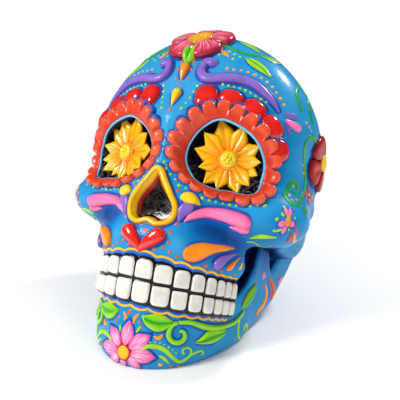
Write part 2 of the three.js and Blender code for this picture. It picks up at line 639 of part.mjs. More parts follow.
addPiece('lower_teeth', ontoJaw(ontoHead(lowerTeeth)), 'ivory');

// Eye linings, stems and flowers
const asMade = (made) => made;
bothSides('eye_cup', eyeLining.cup, asMade, 'black');
const floorFrame = frameAt(new THREE.Vector3(...EYE_FLOOR.at), direction(...EYE_FLOOR.facing));
const flowerFrame = frameAt(new THREE.Vector3(...EYE_FLOWER_AT), direction(...EYE_FLOWER_FACING));
const petalShare = (turn, count) => Math.abs(2 * ((((turn * count) / (2 * Math.PI)) % 1) - 0.5));
const eyePetalRim = (turn) =>
  THREE.MathUtils.lerp(EYE_FLOWER_WAIST, EYE_FLOWER_REACH, petalShare(turn, EYE_FLOWER_PETALS) ** 1.3);
const cupping = (share) => EYE_FLOWER_CUPPING * Math.max(0, share - 0.35) ** 2;
const petalFold = (share) => (share === EYE_FLOWER_RINGS[1] ? EYE_FLOWER_FOLD : 0);
const eyePetalRise = (share, turn) => cupping(share) + petalFold(share) * petalShare(turn, EYE_FLOWER_PETALS);
const eyePetalBack = (share) => cupping(share) - EYE_FLOWER_THICKNESS * (1.2 - 0.8 * share);
const eyeFlowerLay = flatLay(flowerFrame);
const eyeSteps = 2 * EYE_FLOWER_PETALS;
const eyeFlower = pad(eyeFlowerLay, eyePetalRim, eyePetalRise, EYE_FLOWER_RINGS, eyeSteps, eyePetalBack);
bothSides('eye_flower', eyeFlower.intersect(insideEye), asMade, 'gold');
const dome = (f, radius, height, base) => pad(flatLay({ ...f, point: flatLay(f)(0, 0, base) }), () => radius,
  (share) => height * Math.sqrt(1.02 - share ** 2), [0.4, 1], 12, () => 0);
const eyeDisc = dome(flowerFrame, EYE_DISC_RADIUS, EYE_DISC_HEIGHT, 2 * SEAT_GAP);
bothSides('eye_flower_disc', eyeDisc, asMade, 'yellow');
const stemFoot = flatLay({ ...floorFrame, point: flatLay(floorFrame)(0, 0, SEAT_GAP) });
const stemTop = flatLay({ ...flowerFrame, point: eyeFlowerLay(0, 0, -EYE_FLOWER_THICKNESS - SEAT_GAP) });
const stemLoops = [stemFoot, stemTop].map((lay) => Array.from({ length: 14 }, (_, i) => {
  const turn = (2 * Math.PI * i) / 14;
  return lay(STEM_RADIUS * Math.cos(turn), STEM_RADIUS * Math.sin(turn), 0);
}));
bothSides('eye_flower_stem', loft(stemLoops), asMade, 'black');

// Scalloped rings round the eyes, with a crest of red lobes behind each
const eyeCentre = headSkin.place(...EYE_MIDDLE);
const awayFrom = (centre) => (s) => {
  const inward = s.side.dot(s.p.clone().sub(centre)) < 0;
  return inward ? { ...s, side: s.side.clone().negate() } : s;
};
const eyeRow = stations(headSkin, EYE_EDGE, 3 * RING_SCALLOPS, true).map(awayFrom(eyeCentre));
function eyeRing(grow) {
  return loft(eyeRow.map((s, i) => {
    const bump = Math.abs(Math.sin((Math.PI * i) / 3)) ** 0.7;
    const w = s.half - SCALLOP_DEPTH * (1 - bump) + grow;
    const lip = RING_LIP - grow;
    const h = RING_HEIGHT + grow;
    return loopOn(headSkin, s, [[lip, -SINK], [lip + 1, h], [0.75 * w, 0.9 * h], [w + 1, -SINK]]);
  }), true);
}
const ring = eyeRing(0);
const ringGrown = eyeRing(SEAT_GAP);
bothSides('eye_ring', ring, ontoHead, 'orange_red');
const lobeSteps = 4 * LOBE_COUNT;
const eyeLoop = new THREE.CatmullRomCurve3(EYE_EDGE.map((c) => new THREE.Vector3(...c)), true, 'centripetal');
const lobePlaces = Array.from({ length: lobeSteps + 1 }, (_, i) => {
  const u = THREE.MathUtils.lerp(LOBE_SPAN[0], LOBE_SPAN[1], i / lobeSteps) % 1;
  return eyeLoop.getPointAt(u).toArray();
});
const lobeRow = stations(headSkin, lobePlaces, lobeSteps).map(awayFrom(eyeCentre));
const lobes = loft(lobeRow.map((s, i) => {
  const bump = Math.abs(Math.sin((Math.PI * i) / 4)) ** 0.6;
  const inner = s.half + 1.5;
  const outer = s.half + LOBE_JOIN + (LOBE_REACH - LOBE_JOIN) * bump;
  const h = 0.4 * LOBE_HEIGHT + 0.6 * LOBE_HEIGHT * bump;
  return loopOn(headSkin, s, [[inner, -SINK], [inner, h], [0.3 * inner + 0.7 * outer, h], [outer, -SINK]]);
}));
bothSides('eye_lobes', lobes, ontoHead, 'red');

// Nose rim and lining
addPiece('nose_cup', noseLining.cup, 'black');
const noseCentre = headSkin.place(...NOSE_MIDDLE);
const noseRow = stations(headSkin, NOSE_EDGE, OPENING_SIDES, true).map(awayFrom(noseCentre));
const noseRim = (grow) => loft(noseRow.map((s) => {
  const [w, h] = [NOSE_RIM_WIDTH + grow, NOSE_RIM_HEIGHT + grow];
  return loopOn(headSkin, s, [[0, -SINK], [0.2 * w, h], [0.7 * w, h], [w, -SINK]]);
}), true);
addPiece('nose_rim', ontoHead(noseRim(0)), 'yellow');

// Ornament on the brow, cheeks and lip
bothSides('brow_scroll', stroke(headSkin, SCROLL, SCROLL_HEIGHT, 20), ontoHead, 'purple');
addPiece('forehead_drop_orange', ontoHead(stroke(headSkin, ORANGE_DROP, DROP_HEIGHT, 6)), 'orange');
addPiece('forehead_drop_yellow', ontoHead(stroke(headSkin, YELLOW_DROP, DROP_HEIGHT, 6)), 'yellow');
const seed = (grow) => stroke(headSkin, SEED, DROP_HEIGHT, 6, grow);
const swoosh = (grow) => stroke(headSkin, SWOOSH, SWOOSH_HEIGHT, 8, grow)
  .add(stroke(headSkin, SWOOSH_HOOK, SWOOSH_HEIGHT, 5, grow));
bothSides('cheek_seed', seed(0).subtract(ringGrown).subtract(noseRim(SEAT_GAP)), ontoHead, 'yellow');
bothSides('cheek_swoosh', swoosh(0), ontoHead, 'pink');
const cheekTip = stroke(headSkin, CHEEK_TIP, DROP_HEIGHT, 6).subtract(seed(SEAT_GAP));
bothSides('cheek_tip', cheekTip.subtract(swoosh(SEAT_GAP)).subtract(noseRim(SEAT_GAP)), ontoHead, 'purple');
const heartLobe = stroke(headSkin, HEART_LOBE, HEART_HEIGHT, 6);
addPiece('lip_heart', ontoHead(heartLobe.add(mirrored(heartLobe)).subtract(noseRim(SEAT_GAP))), 'red');
for (const [name, colour, places] of LIP_DROPS)
  bothSides(`lip_drop_${name}`, stroke(headSkin, places, DROP_HEIGHT, 6), ontoHead, colour);

// Round-petalled flowers: crown and sides
function roundFlower(at, reach, waist, height, grow = 0) {
  const point = headSkin.place(...at);
  const f = frameAt(point, headNormal(point));
  const share = (turn) => petalShare(turn + 2 * Math.PI - rad(ROUND_TURN), ROUND_PETALS);
  const rim = (turn) => THREE.MathUtils.lerp(waist, reach, (1 - (1 - share(turn)) ** 2) ** 0.5) + grow;
  const rise = (out, turn) => height * (0.55 + 0.45 * share(turn)) * Math.sqrt(1.02 - out ** 4) + grow;
  return { f, made: pad(skinLay(f, headSkin), rim, rise, [0.3, 0.7, 1], 4 * ROUND_PETALS, () => -SINK) };
}
const crown = roundFlower(CROWN_AT, CROWN_REACH, CROWN_WAIST, CROWN_HEIGHT);
addPiece('crown_flower', ontoHead(crown.made), 'crimson');
const crownGrown = roundFlower(CROWN_AT, CROWN_REACH, CROWN_WAIST, CROWN_HEIGHT, SEAT_GAP).made;
addPiece('crown_leaf', ontoHead(stroke(headSkin, CROWN_LEAF, LEAF_HEIGHT, 6).subtract(crownGrown)), 'lime');
addPiece('crown_disc', dome(crown.f, CROWN_DISC_RADIUS, DISC_HEIGHT, CROWN_HEIGHT + SEAT_GAP), 'gold');
const side = roundFlower(SIDE_FLOWER_AT, SIDE_FLOWER_REACH, SIDE_FLOWER_WAIST, SIDE_FLOWER_HEIGHT);
bothSides('side_flower', side.made, ontoHead, 'red');
const sideDisc = dome(side.f, SIDE_DISC_RADIUS, DISC_HEIGHT, SIDE_FLOWER_HEIGHT + 2 * SEAT_GAP);
bothSides('side_flower_disc', sideDisc, asMade, 'yellow');

// Vines and leaves on the jaw
const vine = (grow) => stroke(jawSkin, VINE_STEM, VINE_HEIGHT, 9, grow)
  .add(stroke(jawSkin, VINE_CURL, VINE_HEIGHT, 14, grow));
bothSides('jaw_vine', vine(0), ontoJaw, 'green');
for (const [name, places] of JAW_LEAVES) {
  const leaf = stroke(jawSkin, places, LEAF_HEIGHT, 6).subtract(vine(SEAT_GAP));
  bothSides(`jaw_leaf_${name}`, leaf, ontoJaw, 'lime');
}

// Lean the skull back onto its jaw and foot, and put the origin under the middle of its box
skull.rotation.x = -rad(TILT);
group.updateMatrixWorld(true);
const box = new THREE.Box3().setFromObject(group, true);
skull.position.set(-(box.min.x + box.max.x) / 2, -(box.min.y + box.max.y) / 2, -box.min.z);

export default group;
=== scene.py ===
"""A painted sugar skull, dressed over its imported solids.

Shapes are worked out in the skull's own frame, in millimetres (x to its left, y to its back, z up),
with the same named sizes as the solids, and are then leaned back into the row frame in metres.
"""
import math

import bmesh
import bpy
import numpy as np
from mathutils import Matrix, Vector, noise


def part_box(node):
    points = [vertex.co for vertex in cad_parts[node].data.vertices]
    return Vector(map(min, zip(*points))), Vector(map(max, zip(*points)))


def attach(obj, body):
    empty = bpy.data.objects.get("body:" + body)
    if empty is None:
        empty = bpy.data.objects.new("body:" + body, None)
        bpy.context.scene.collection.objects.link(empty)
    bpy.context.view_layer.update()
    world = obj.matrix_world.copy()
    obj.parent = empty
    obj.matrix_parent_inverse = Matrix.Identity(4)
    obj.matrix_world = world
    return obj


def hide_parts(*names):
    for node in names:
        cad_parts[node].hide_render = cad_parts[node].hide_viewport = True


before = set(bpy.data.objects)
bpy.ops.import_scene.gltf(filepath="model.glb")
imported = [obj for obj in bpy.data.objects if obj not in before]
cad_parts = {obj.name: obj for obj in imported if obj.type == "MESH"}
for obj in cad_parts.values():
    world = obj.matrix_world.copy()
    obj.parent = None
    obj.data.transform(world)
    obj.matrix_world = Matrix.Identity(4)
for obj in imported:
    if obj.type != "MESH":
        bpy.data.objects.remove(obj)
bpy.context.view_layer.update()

# ---------------------------------------------------------------- stance
TILT = math.radians(19)
FLOOR_DROP = 240
FLAT_DEPTH = 1.5
FOOT_Y = 30
FOOT_RADIUS = 38
FOOT_WALL = 8
foot_low, foot_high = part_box("neck_foot")
SHIFT = np.array([0, 500 * (foot_low.y + foot_high.y) - FOOT_Y, FLOOR_DROP - FLAT_DEPTH])
LEAN = np.array([[1, 0, 0], [0, math.cos(TILT), math.sin(TILT)], [0, -math.sin(TILT), math.cos(TILT)]])


def to_row(points):
    """Skull millimetres to row metres."""
    return (np.asarray(points, float) @ LEAN.T + SHIFT) / 1000


def unit(v):
    return v / np.maximum(np.linalg.norm(v, axis=-1, keepdims=True), 1e-9)


def distances(line):
    """Distance from the first point of a line to each of its points."""
    return np.concatenate([[0], np.cumsum(np.linalg.norm(np.diff(line, axis=0), axis=1))])


def new_object(name, data):
    made = bpy.data.objects.new(name, data)
    bpy.context.scene.collection.objects.link(made)
    return made


# ---------------------------------------------------------------- head surface, as in the solids
MIDDLE = np.array([0.0, -90, -60])
SEAM_Y = 30
SHELL_WALL = 12
CRANIUM_Y, CRANIUM_Z, CRANIUM_LEAN = -62, -31, math.radians(3.5)
CRANIUM_HALF_WIDTH, CRANIUM_RISE, CRANIUM_FRONT, CRANIUM_BACK = 174, 175, 90, 180.2
FACE_AT, FACE_SIZE = (0, -82, -67), (113, 80, 100)
MUZZLE_AT, MUZZLE_SIZE = (0, -40, 0), (128, 138, 38)
MUZZLE_MIDDLE, MUZZLE_BOTTOM, MUZZLE_REAR, MUZZLE_TAPER = -166, -204, -72, 0.13
CHEEK_AT, CHEEK_SIZE = (116, -85, -106), (63.2, 54, 39)
CHEEK_ARCH = (134, -69, -104), (152, -20, -88), (20, 13)
BROW = (0, -138, 6), (111, -112, -4), (17, 15)
NOSE_MOUND_AT, NOSE_MOUND_SIZE = (0, -128, -100), (62, 42, 56)
TEMPLE_AT, TEMPLE_SIZE = (206, -78, -34), (44, 56, 46)
MASTOID_AT, MASTOID_SIZE = (110, 34, -118), (34, 54, 46)
ORBIT_AT, ORBIT_SIZE = (58, -190, -36), (62, 52, 62)
ROOM_INNER, ROOM_FRONT, ROOM_TOP, ROOM_DROP = 88, -111, -144, 14


def smooth_min(a, b, k):
    h = np.clip(0.5 + 0.5 * (b - a) / k, 0, 1)
    return b + (a - b) * h - k * h * (1 - h)


def smooth_max(a, b, k):
    return -smooth_min(-a, -b, k)


def ellipsoid(p, at, size):
    q = p - np.array(at, float)
    size = np.asarray(size, float)
    near = np.linalg.norm(q / size, axis=-1)
    return near * (near - 1) / (np.linalg.norm(q / size ** 2, axis=-1) + 1e-9)


def bar(p, start, end, radii):
    start = np.array(start, float)
    run = np.array(end, float) - start
    t = np.clip((p - start) @ run / (run @ run), 0, 1)
    gap = np.linalg.norm(p - start - t[..., None] * run, axis=-1)
    return gap - (radii[0] + (radii[1] - radii[0]) * t)


def cranium(p):
    y, z = p[..., 1] - CRANIUM_Y, p[..., 2] - CRANIUM_Z
    along = math.cos(CRANIUM_LEAN) * y + math.sin(CRANIUM_LEAN) * z
    rise = math.cos(CRANIUM_LEAN) * z - math.sin(CRANIUM_LEAN) * y
    depth = np.where(along > 0, CRANIUM_BACK, CRANIUM_FRONT)
    size = np.stack([CRANIUM_HALF_WIDTH + 0 * along, depth, CRANIUM_RISE + 0 * along], -1)
    return ellipsoid(np.stack([p[..., 0], along, rise], -1), (0, 0, 0), size)


def muzzle(p):
    t = np.clip((MUZZLE_BOTTOM + 36 - p[..., 2]) / 30, 0, 1)
    narrow = 1 - MUZZLE_TAPER * t * t * (3 - 2 * t)
    plan = np.stack([p[..., 0] / narrow, p[..., 1], 0 * t], -1)
    beyond = abs(p[..., 2] - MUZZLE_MIDDLE) - MUZZLE_SIZE[2]
    ends = smooth_max(ellipsoid(plan, MUZZLE_AT, MUZZLE_SIZE), beyond, 26)
    return smooth_max(ends, p[..., 1] - MUZZLE_REAR - 0.25 * (p[..., 2] - MUZZLE_BOTTOM), 16)


def jaw_room(p):
    """The open space behind the muzzle and under the cheek arch, less than zero inside."""
    x, y, z = abs(p[..., 0]), p[..., 1], p[..., 2]
    inner = (ROOM_INNER + 0.25 * (y + 60) - x) * 0.97
    front = (ROOM_FRONT - 0.4 * (z + 147) - y) * 0.93
    top = ROOM_TOP - ROOM_DROP * np.clip((y + 40) / 60, 0, 1)
    return smooth_max(smooth_max(inner, front, 12), z - top, 12)


def head_distance(points):
    """About how far points lie outside the head, less than zero inside."""
    p = np.array(points, float)
    p[..., 0] = abs(p[..., 0])
    d = smooth_min(cranium(p), ellipsoid(p, FACE_AT, FACE_SIZE), 36)
    d = smooth_min(d, muzzle(p), 30)
    d = smooth_min(d, ellipsoid(p, CHEEK_AT, CHEEK_SIZE), 22)
    d = smooth_min(d, bar(p, *CHEEK_ARCH), 16)
    d = smooth_min(d, bar(p, *BROW), 24)
    d = smooth_min(d, ellipsoid(p, NOSE_MOUND_AT, NOSE_MOUND_SIZE), 14)
    d = smooth_max(d, -ellipsoid(p, TEMPLE_AT, TEMPLE_SIZE), 30)
    d = smooth_min(d, ellipsoid(p, MASTOID_AT, MASTOID_SIZE), 24)
    d = smooth_max(d, -ellipsoid(p, ORBIT_AT, ORBIT_SIZE), 14)
    return smooth_max(d, -jaw_room(p), 8)


def direction(across, up):
    """Unit direction for angles in degrees, from straight ahead."""
    a, u = np.radians(across), np.radians(up)
    return np.stack([np.sin(a) * np.cos(u), -np.cos(a) * np.cos(u), np.sin(u) + 0 * a], -1)


def head_radius(rays):
    r = np.full(rays.shape[:-1], 400.0)
    for _ in range(60):
        gap = head_distance(MIDDLE + rays * r[..., None])
        r = r - np.where(gap > 0.01, np.maximum(0.85 * gap, 0.01), 0)
    return r


class HeadSkin:
    """Places on the head are angles across and up, seen from its middle."""

    def at(self, across, up):
        rays = direction(np.asarray(across, float), np.asarray(up, float))
        return MIDDLE + rays * head_radius(rays)[..., None]

    def normal(self, p):
        return unit(np.stack([head_distance(p + e) - head_distance(p - e) for e in 0.5 * np.eye(3)], -1))

    def settle(self, p):
        for _ in range(4):
            p = p - head_distance(p)[..., None] * self.normal(p)
        return p

    def patch(self, point, across, rise):
        """The surface about a point: gives (u, v, h) to place, h above the skin."""
        def place(u, v, h):
            p = self.settle(point + u[..., None] * across + v[..., None] * rise)
            return p + h[..., None] * self.normal(p)
        return place

    def lay(self, at):
        """A patch about a place: u runs to the left and down the left side, v up the front and to the back."""
        point = self.at(*at)
        up = self.normal(point)
        across = np.cross([0, 1, 0], up)
        if np.linalg.norm(across) < 0.3:
            across = np.array([1.0, 0, 0])
        across = unit(across - up * (across @ up))
        return self.patch(point, across, np.cross(up, across))


# ---------------------------------------------------------------- jaw and tooth arches
JAW_Y = -40
JAW_HALF_WIDTH, JAW_REACH = 106, 138.5
JAW_BRANCH, JAW_SPLAY = 108, 0.17
TEETH_HALF_WIDTH, TEETH_REACH = 120, 146


def floor_height(y):
    return (-FLOOR_DROP + y * math.sin(TILT)) / math.cos(TILT)


class Arch:
    """Half an oval in plan, with an optional straight branch at its end; s is the distance round it."""

    def __init__(self, half_width, reach, branch=0.0, splay=0.0):
        t = np.linspace(-math.pi / 2, 0, 1500)
        line = np.stack([half_width * np.cos(t), JAW_Y + reach * np.sin(t)], -1)
        if branch:
            step = np.linspace(0, 1, 200)[1:, None]
            line = np.concatenate([line, line[-1] + step * [splay * branch, branch]])
        self.line, self.s = line, distances(line)
        self.length = self.s[-1]

    def point(self, s):
        return np.stack([np.interp(s, self.s, self.line[:, 0]), np.interp(s, self.s, self.line[:, 1])], -1)

    def section(self, s):
        """Point, outward direction and side at a signed distance."""
        a = np.clip(abs(s), 0, self.length)
        run = unit(self.point(np.minimum(a + 0.5, self.length)) - self.point(np.maximum(a - 0.5, 0)))
        return self.point(a), np.stack([run[..., 1], -run[..., 0]], -1), np.where(s < 0, -1, 1)

    def put(self, s, z, offset):
        p, out, side = self.section(s)
        flat = p + out * np.asarray(offset)[..., None]
        return np.stack([side * flat[..., 0], flat[..., 1], z + 0 * s], -1)

    def nearest(self, p):
        """Signed distance round the arch of the place nearest to each point."""
        x, y = self.line.T
        best = np.concatenate([np.argmin((x - abs(q[:, :1])) ** 2 + (y - q[:, 1:2]) ** 2, axis=1)
                               for q in np.split(p, range(400, len(p), 400))])
        return np.where(p[:, 0] < 0, -1, 1) * self.s[best]


BRANCH_BOTTOM = [(0, floor_height(JAW_Y)), (18, -254), (60, -222), (90, -184), (108, -152)]
BRANCH_TOP = [(-40, -206), (-22, -192), (-5, -168), (2, -128), (24, -124), (34, -160), (44, -176),
              (64, -152), (76, -136), (100, -137), (108, -148)]


class JawSkin(Arch):
    """Places on the jaw are a distance round its arch and a height."""

    def sizes(self, s):
        """Bottom, top and wall at a distance round the arch."""
        back = self.point(np.clip(abs(s), 0, self.length))[..., 1] - JAW_Y
        bottom = np.where(back < 0, floor_height(back + JAW_Y), np.interp(back, *np.transpose(BRANCH_BOTTOM)))
        top = np.interp(back, *np.transpose(BRANCH_TOP))
        return bottom, top, np.interp(back, [-JAW_REACH, 0, JAW_BRANCH], [56, 34, 30])

    def at(self, s, z, h=0.0):
        s, z = np.asarray(s, float), np.asarray(z, float)
        bottom, top, wall = self.sizes(s)
        w = np.clip((2 * z - top - bottom) / (top - bottom), -1, 1)
        return self.put(s, z, wall / 2 * ((1 - abs(w) ** 5) ** 0.25 - 1) + h)

    def normal(self, p):
        s = self.nearest(p)
        z, e = p[:, 2], 0.6
        along = self.at(s + e, z) - self.at(s - e, z)
        rise = self.at(s, z + e) - self.at(s, z - e)
        return unit(np.cross(along, rise))

    def settle(self, p):
        return self.at(self.nearest(p), p[:, 2])

    def lay(self, at):
        """A patch about a place: u runs round the arch, v up."""
        def place(u, v, h):
            p = self.at(at[0] + u, at[1] + v)
            return p + h[..., None] * self.normal(p)
        return place


head = HeadSkin()
jaw = JawSkin(JAW_HALF_WIDTH, JAW_REACH, JAW_BRANCH, JAW_SPLAY)
teeth = Arch(TEETH_HALF_WIDTH, TEETH_REACH)


def flat_lay(at, facing):
    """A flat patch about a point, facing a direction given as angles."""
    point, up = np.array(at, float), direction(*map(float, facing))
    across = unit([1, 0, 0] - up * up[0])
    rise = np.cross(up, across)
    return lambda u, v, h: point + u[..., None] * across + v[..., None] * rise + h[..., None] * up


# ---------------------------------------------------------------- shapes
def spline(knots, count, closed=False):
    """Evenly spaced points on a smooth line through a few knots."""
    k = np.array(knots, float)
    n = len(k)
    if closed:
        k = np.concatenate([k[-3:], k, k[:3]])
    h = np.linalg.norm(np.diff(k[:, :2], axis=0), axis=1) ** 0.5
    t = np.concatenate([[0], np.cumsum(h)])
    slope = np.diff(k, axis=0) / h[:, None]
    inner = (slope[:-1] * h[1:, None] + slope[1:] * h[:-1, None]) / (h[:-1] + h[1:])[:, None]
    m = np.concatenate([slope[:1], inner, slope[-1:]])
    low, high = (t[3], t[3 + n]) if closed else (0, t[-1])
    q = np.linspace(low, high, 24 * n)
    i = np.clip(np.searchsorted(t, q, side="right") - 1, 0, len(h) - 1)
    w = h[i][:, None]
    u = (q - t[i])[:, None] / w
    p = (k[i] * (1 + 2 * u) * (1 - u) ** 2 + m[i] * w * u * (1 - u) ** 2
         + k[i + 1] * u * u * (3 - 2 * u) + m[i + 1] * w * u * u * (u - 1))
    run = distances(p[:, :2])
    goal = np.linspace(0, run[-1], count + closed)[:count]
    return np.stack([np.interp(goal, run, c) for c in p.T], -1)


class Clay:
    """Bodies that make one piece; each point has an edge mark (1 at a rim) and a run mark (1 at a tip)."""

    def __init__(self, *bodies):
        self.points, self.faces, self.edge, self.run = np.zeros((0, 3)), [], np.zeros(0), np.zeros(0)
        for body in bodies:
            self.add(*body)

    def add(self, points, faces, edge, run):
        first = len(self.points)
        self.points = np.concatenate([self.points, points])
        self.faces += [[first + i for i in f] for f in faces]
        self.edge = np.concatenate([self.edge, np.broadcast_to(edge, len(points))])
        self.run = np.concatenate([self.run, np.broadcast_to(run, len(points))])
        return self

    def join(self, other):
        return self.add(other.points, other.faces, other.edge, other.run)

    def mirrored(self):
        made = Clay()
        return made.add(self.points * [-1, 1, 1], [f[::-1] for f in self.faces], self.edge, self.run)

    def both(self):
        return Clay().join(self).join(self.mirrored())


SINK = 1.0


def loft(loops, ring=False):
    """Faces over a row of equal loops, closed round a ring or capped at both ends."""
    n, m = loops.shape[:2]
    index = np.arange(n * m).reshape(n, m)
    a, b = (index, np.roll(index, -1, 0)) if ring else (index[:-1], index[1:])
    quads = np.stack([a, b, np.roll(b, -1, 1), np.roll(a, -1, 1)], -1).reshape(-1, 4).tolist()
    return quads if ring else quads + [index[0][::-1].tolist(), index[-1].tolist()]


def ribbon(skin, base, half, height, flat=False, closed=False, sides=11, crease=0.0):
    """A raised or flat band along points of a skin, with rounded ends; its underside lies SINK below the skin."""
    up = skin.normal(base)
    step = np.roll(base, -1, 0) - np.roll(base, 1, 0) if closed else np.gradient(base, axis=0)
    side = unit(np.cross(step, up))
    length = distances(base)
    tip = np.ones(len(base))
    if not closed:
        blunt = np.where(length < length[-1] / 2, half[0], half[-1])
        near = np.clip(np.minimum(length, length[-1] - length) / np.maximum(blunt, 0.4), 0, 1)
        tip = np.maximum((1 - (1 - near) ** 2) ** 0.5, 0.05)
    half = half * tip
    rise = (height if flat else np.minimum(height, 0.95 * half + 0.3)) * tip
    x = np.cos(np.linspace(0, math.pi, sides))
    dome = (1 - abs(x) ** (8 if flat else 3)) ** 0.5 - crease * np.exp(-(x / 0.2) ** 2)
    x = np.concatenate([x, [-0.8, 0.8]])
    q = base[:, None] + side[:, None] * (half[:, None] * x)[..., None]
    h = np.concatenate([rise[:, None] * dome, np.full((len(base), 2), -SINK)], 1)
    p = skin.settle(q.reshape(-1, 3))
    p = p + h.reshape(-1, 1) * skin.normal(p)
    edge = np.tile(np.minimum(abs(x) + (np.arange(len(x)) >= sides), 1), len(base))
    return p, loft(p.reshape(len(base), -1, 3), closed), edge, np.repeat(length / length[-1], len(x))


def stroke(skin, knots, height, widen=0.0, flat=False, steps=0, crease=0.0):
    """A band through knots of (place, place, half width)."""
    line = spline(knots, steps or 9 * len(knots))
    return ribbon(skin, skin.at(line[:, 0], line[:, 1]), line[:, 2] + widen, height, flat, crease=crease)


def pillow(lay, rim, height, rings=6, power=2.2, sink=SINK, middle=None, fold=None, flat_rim=0.0):
    """A closed dome over an outline (n, 2) laid on a patch; fold(share, uv) shifts the height."""
    rim = np.asarray(rim, float)
    middle = rim.mean(0) if middle is None else np.array(middle, float)
    n = len(rim)
    shares = np.concatenate([np.linspace(0, 1, rings + 1)[1:], [0.88]])
    uv = np.concatenate([[middle], *[middle + s * (rim - middle) for s in shares], [middle]])
    share = np.concatenate([[0], np.repeat(shares, n), [0]])
    h = height * np.maximum(1 - share ** power, flat_rim) ** 0.5
    if fold is not None:
        h = h + fold(share, uv)
    h[-n - 1:] = -sink
    span = np.ptp(rim[:, 0]) or 1
    p = lay(uv[:, 0], uv[:, 1], h)
    index = 1 + np.arange(len(shares) * n).reshape(-1, n)
    turn = np.roll(index, -1, 1)
    faces = np.stack([index[:-1], index[1:], turn[1:], turn[:-1]], -1).reshape(-1, 4).tolist()
    faces += [[0, a, b] for a, b in zip(index[0], turn[0])]
    faces += [[len(p) - 1, b, a] for a, b in zip(index[-1], turn[-1])]
    edge = share.copy()
    edge[-n - 1:] = 1
    return p, faces, edge, (uv[:, 0] - rim[:, 0].min()) / span


def oval(u, v, count):
    t = np.linspace(0, 2 * math.pi, count, endpoint=False)
    return np.stack([u * np.cos(t), v * np.sin(t)], -1)


def petal_rim(start, width, belly=1.0, blunt=1.0, count=14):
    """Outline of a petal from start to 1 along u."""
    t = np.linspace(0, 1, count)
    w = width * np.sin(math.pi * t ** belly) ** blunt
    u = start + (1 - start) * t
    return np.concatenate([np.stack([u, w], -1), np.stack([u, -w], -1)[-2:0:-1]])


# ---------------------------------------------------------------- node trees
def hue(red, green, blue):
    """Paint colour as seen, 0 to 255, in the renderer's own numbers."""
    c = np.array([red, green, blue]) / 255
    return (*np.where(c <= 0.04045, c / 12.92, ((c + 0.055) / 1.055) ** 2.4), 1.0)


def operator(operation, swapped=False):
    """A Wire's arithmetic sign as a Math node."""
    return lambda wire, other: wire.maths(operation, *((other, wire) if swapped else (wire, other)))


class Wire:
    """One output in a node tree. Arithmetic on it adds Math nodes to that tree."""

    def __init__(self, tree, socket=None):
        self.tree, self.socket = tree, socket

    def node(self, kind, settings=None, sockets=None, output=0):
        made = self.tree.nodes.new(kind)
        for key, value in (settings or {}).items():
            setattr(made, key, value)
        for key, value in (sockets or {}).items():
            if isinstance(value, Wire):
                self.tree.links.new(value.socket, made.inputs[key])
            else:
                made.inputs[key].default_value = value
        return Wire(self.tree, made.outputs[output]) if len(made.outputs) else None

    def maths(self, operation, a, b=0.0, clamp=False):
        return self.node("ShaderNodeMath", {"operation": operation, "use_clamp": clamp}, {0: a, 1: b})

    __add__, __radd__ = operator("ADD"), operator("ADD", True)
    __sub__, __rsub__ = operator("SUBTRACT"), operator("SUBTRACT", True)
    __mul__, __rmul__ = operator("MULTIPLY"), operator("MULTIPLY", True)
    __truediv__, __pow__ = operator("DIVIDE"), operator("POWER")

    def held(self):
        """Kept between 0 and 1."""
        return self.maths("ADD", self, 0.0, True)

    def mix(self, a, b):
        """Colour a where this value is 0, b where it is 1."""
        return self.node("ShaderNodeMix", {"data_type": "RGBA"}, {0: self, 6: a, 7: b}, 2)

    def mark(self, name):
        """A mark that the mesh carries on its points, in a material."""
        return self.node("ShaderNodeAttribute", {"attribute_name": name}, output="Fac")

    def field(self, name, kind):
        """The same in a Geometry Nodes tree."""
        return self.node("GeometryNodeInputNamedAttribute", {"data_type": kind}, {"Name": name})

    def vector(self, operation, *given, output=0):
        return self.node("ShaderNodeVectorMath", {"operation": operation}, dict(enumerate(given)), output)

    def cloud(self, place, scale, detail, output="Fac"):
        given = {"Vector": place, "Scale": scale, "Detail": detail}
        return self.node("ShaderNodeTexNoise", None, given, output)

    def ray(self, kind):
        return self.node("ShaderNodeLightPath", output=f"Is {kind} Ray")


def new_material(name):
    """An empty material and a wire to start its tree with."""
    material = bpy.data.materials.new(name)
    material.use_nodes = True
    material.node_tree.nodes.clear()
    return material, Wire(material.node_tree)


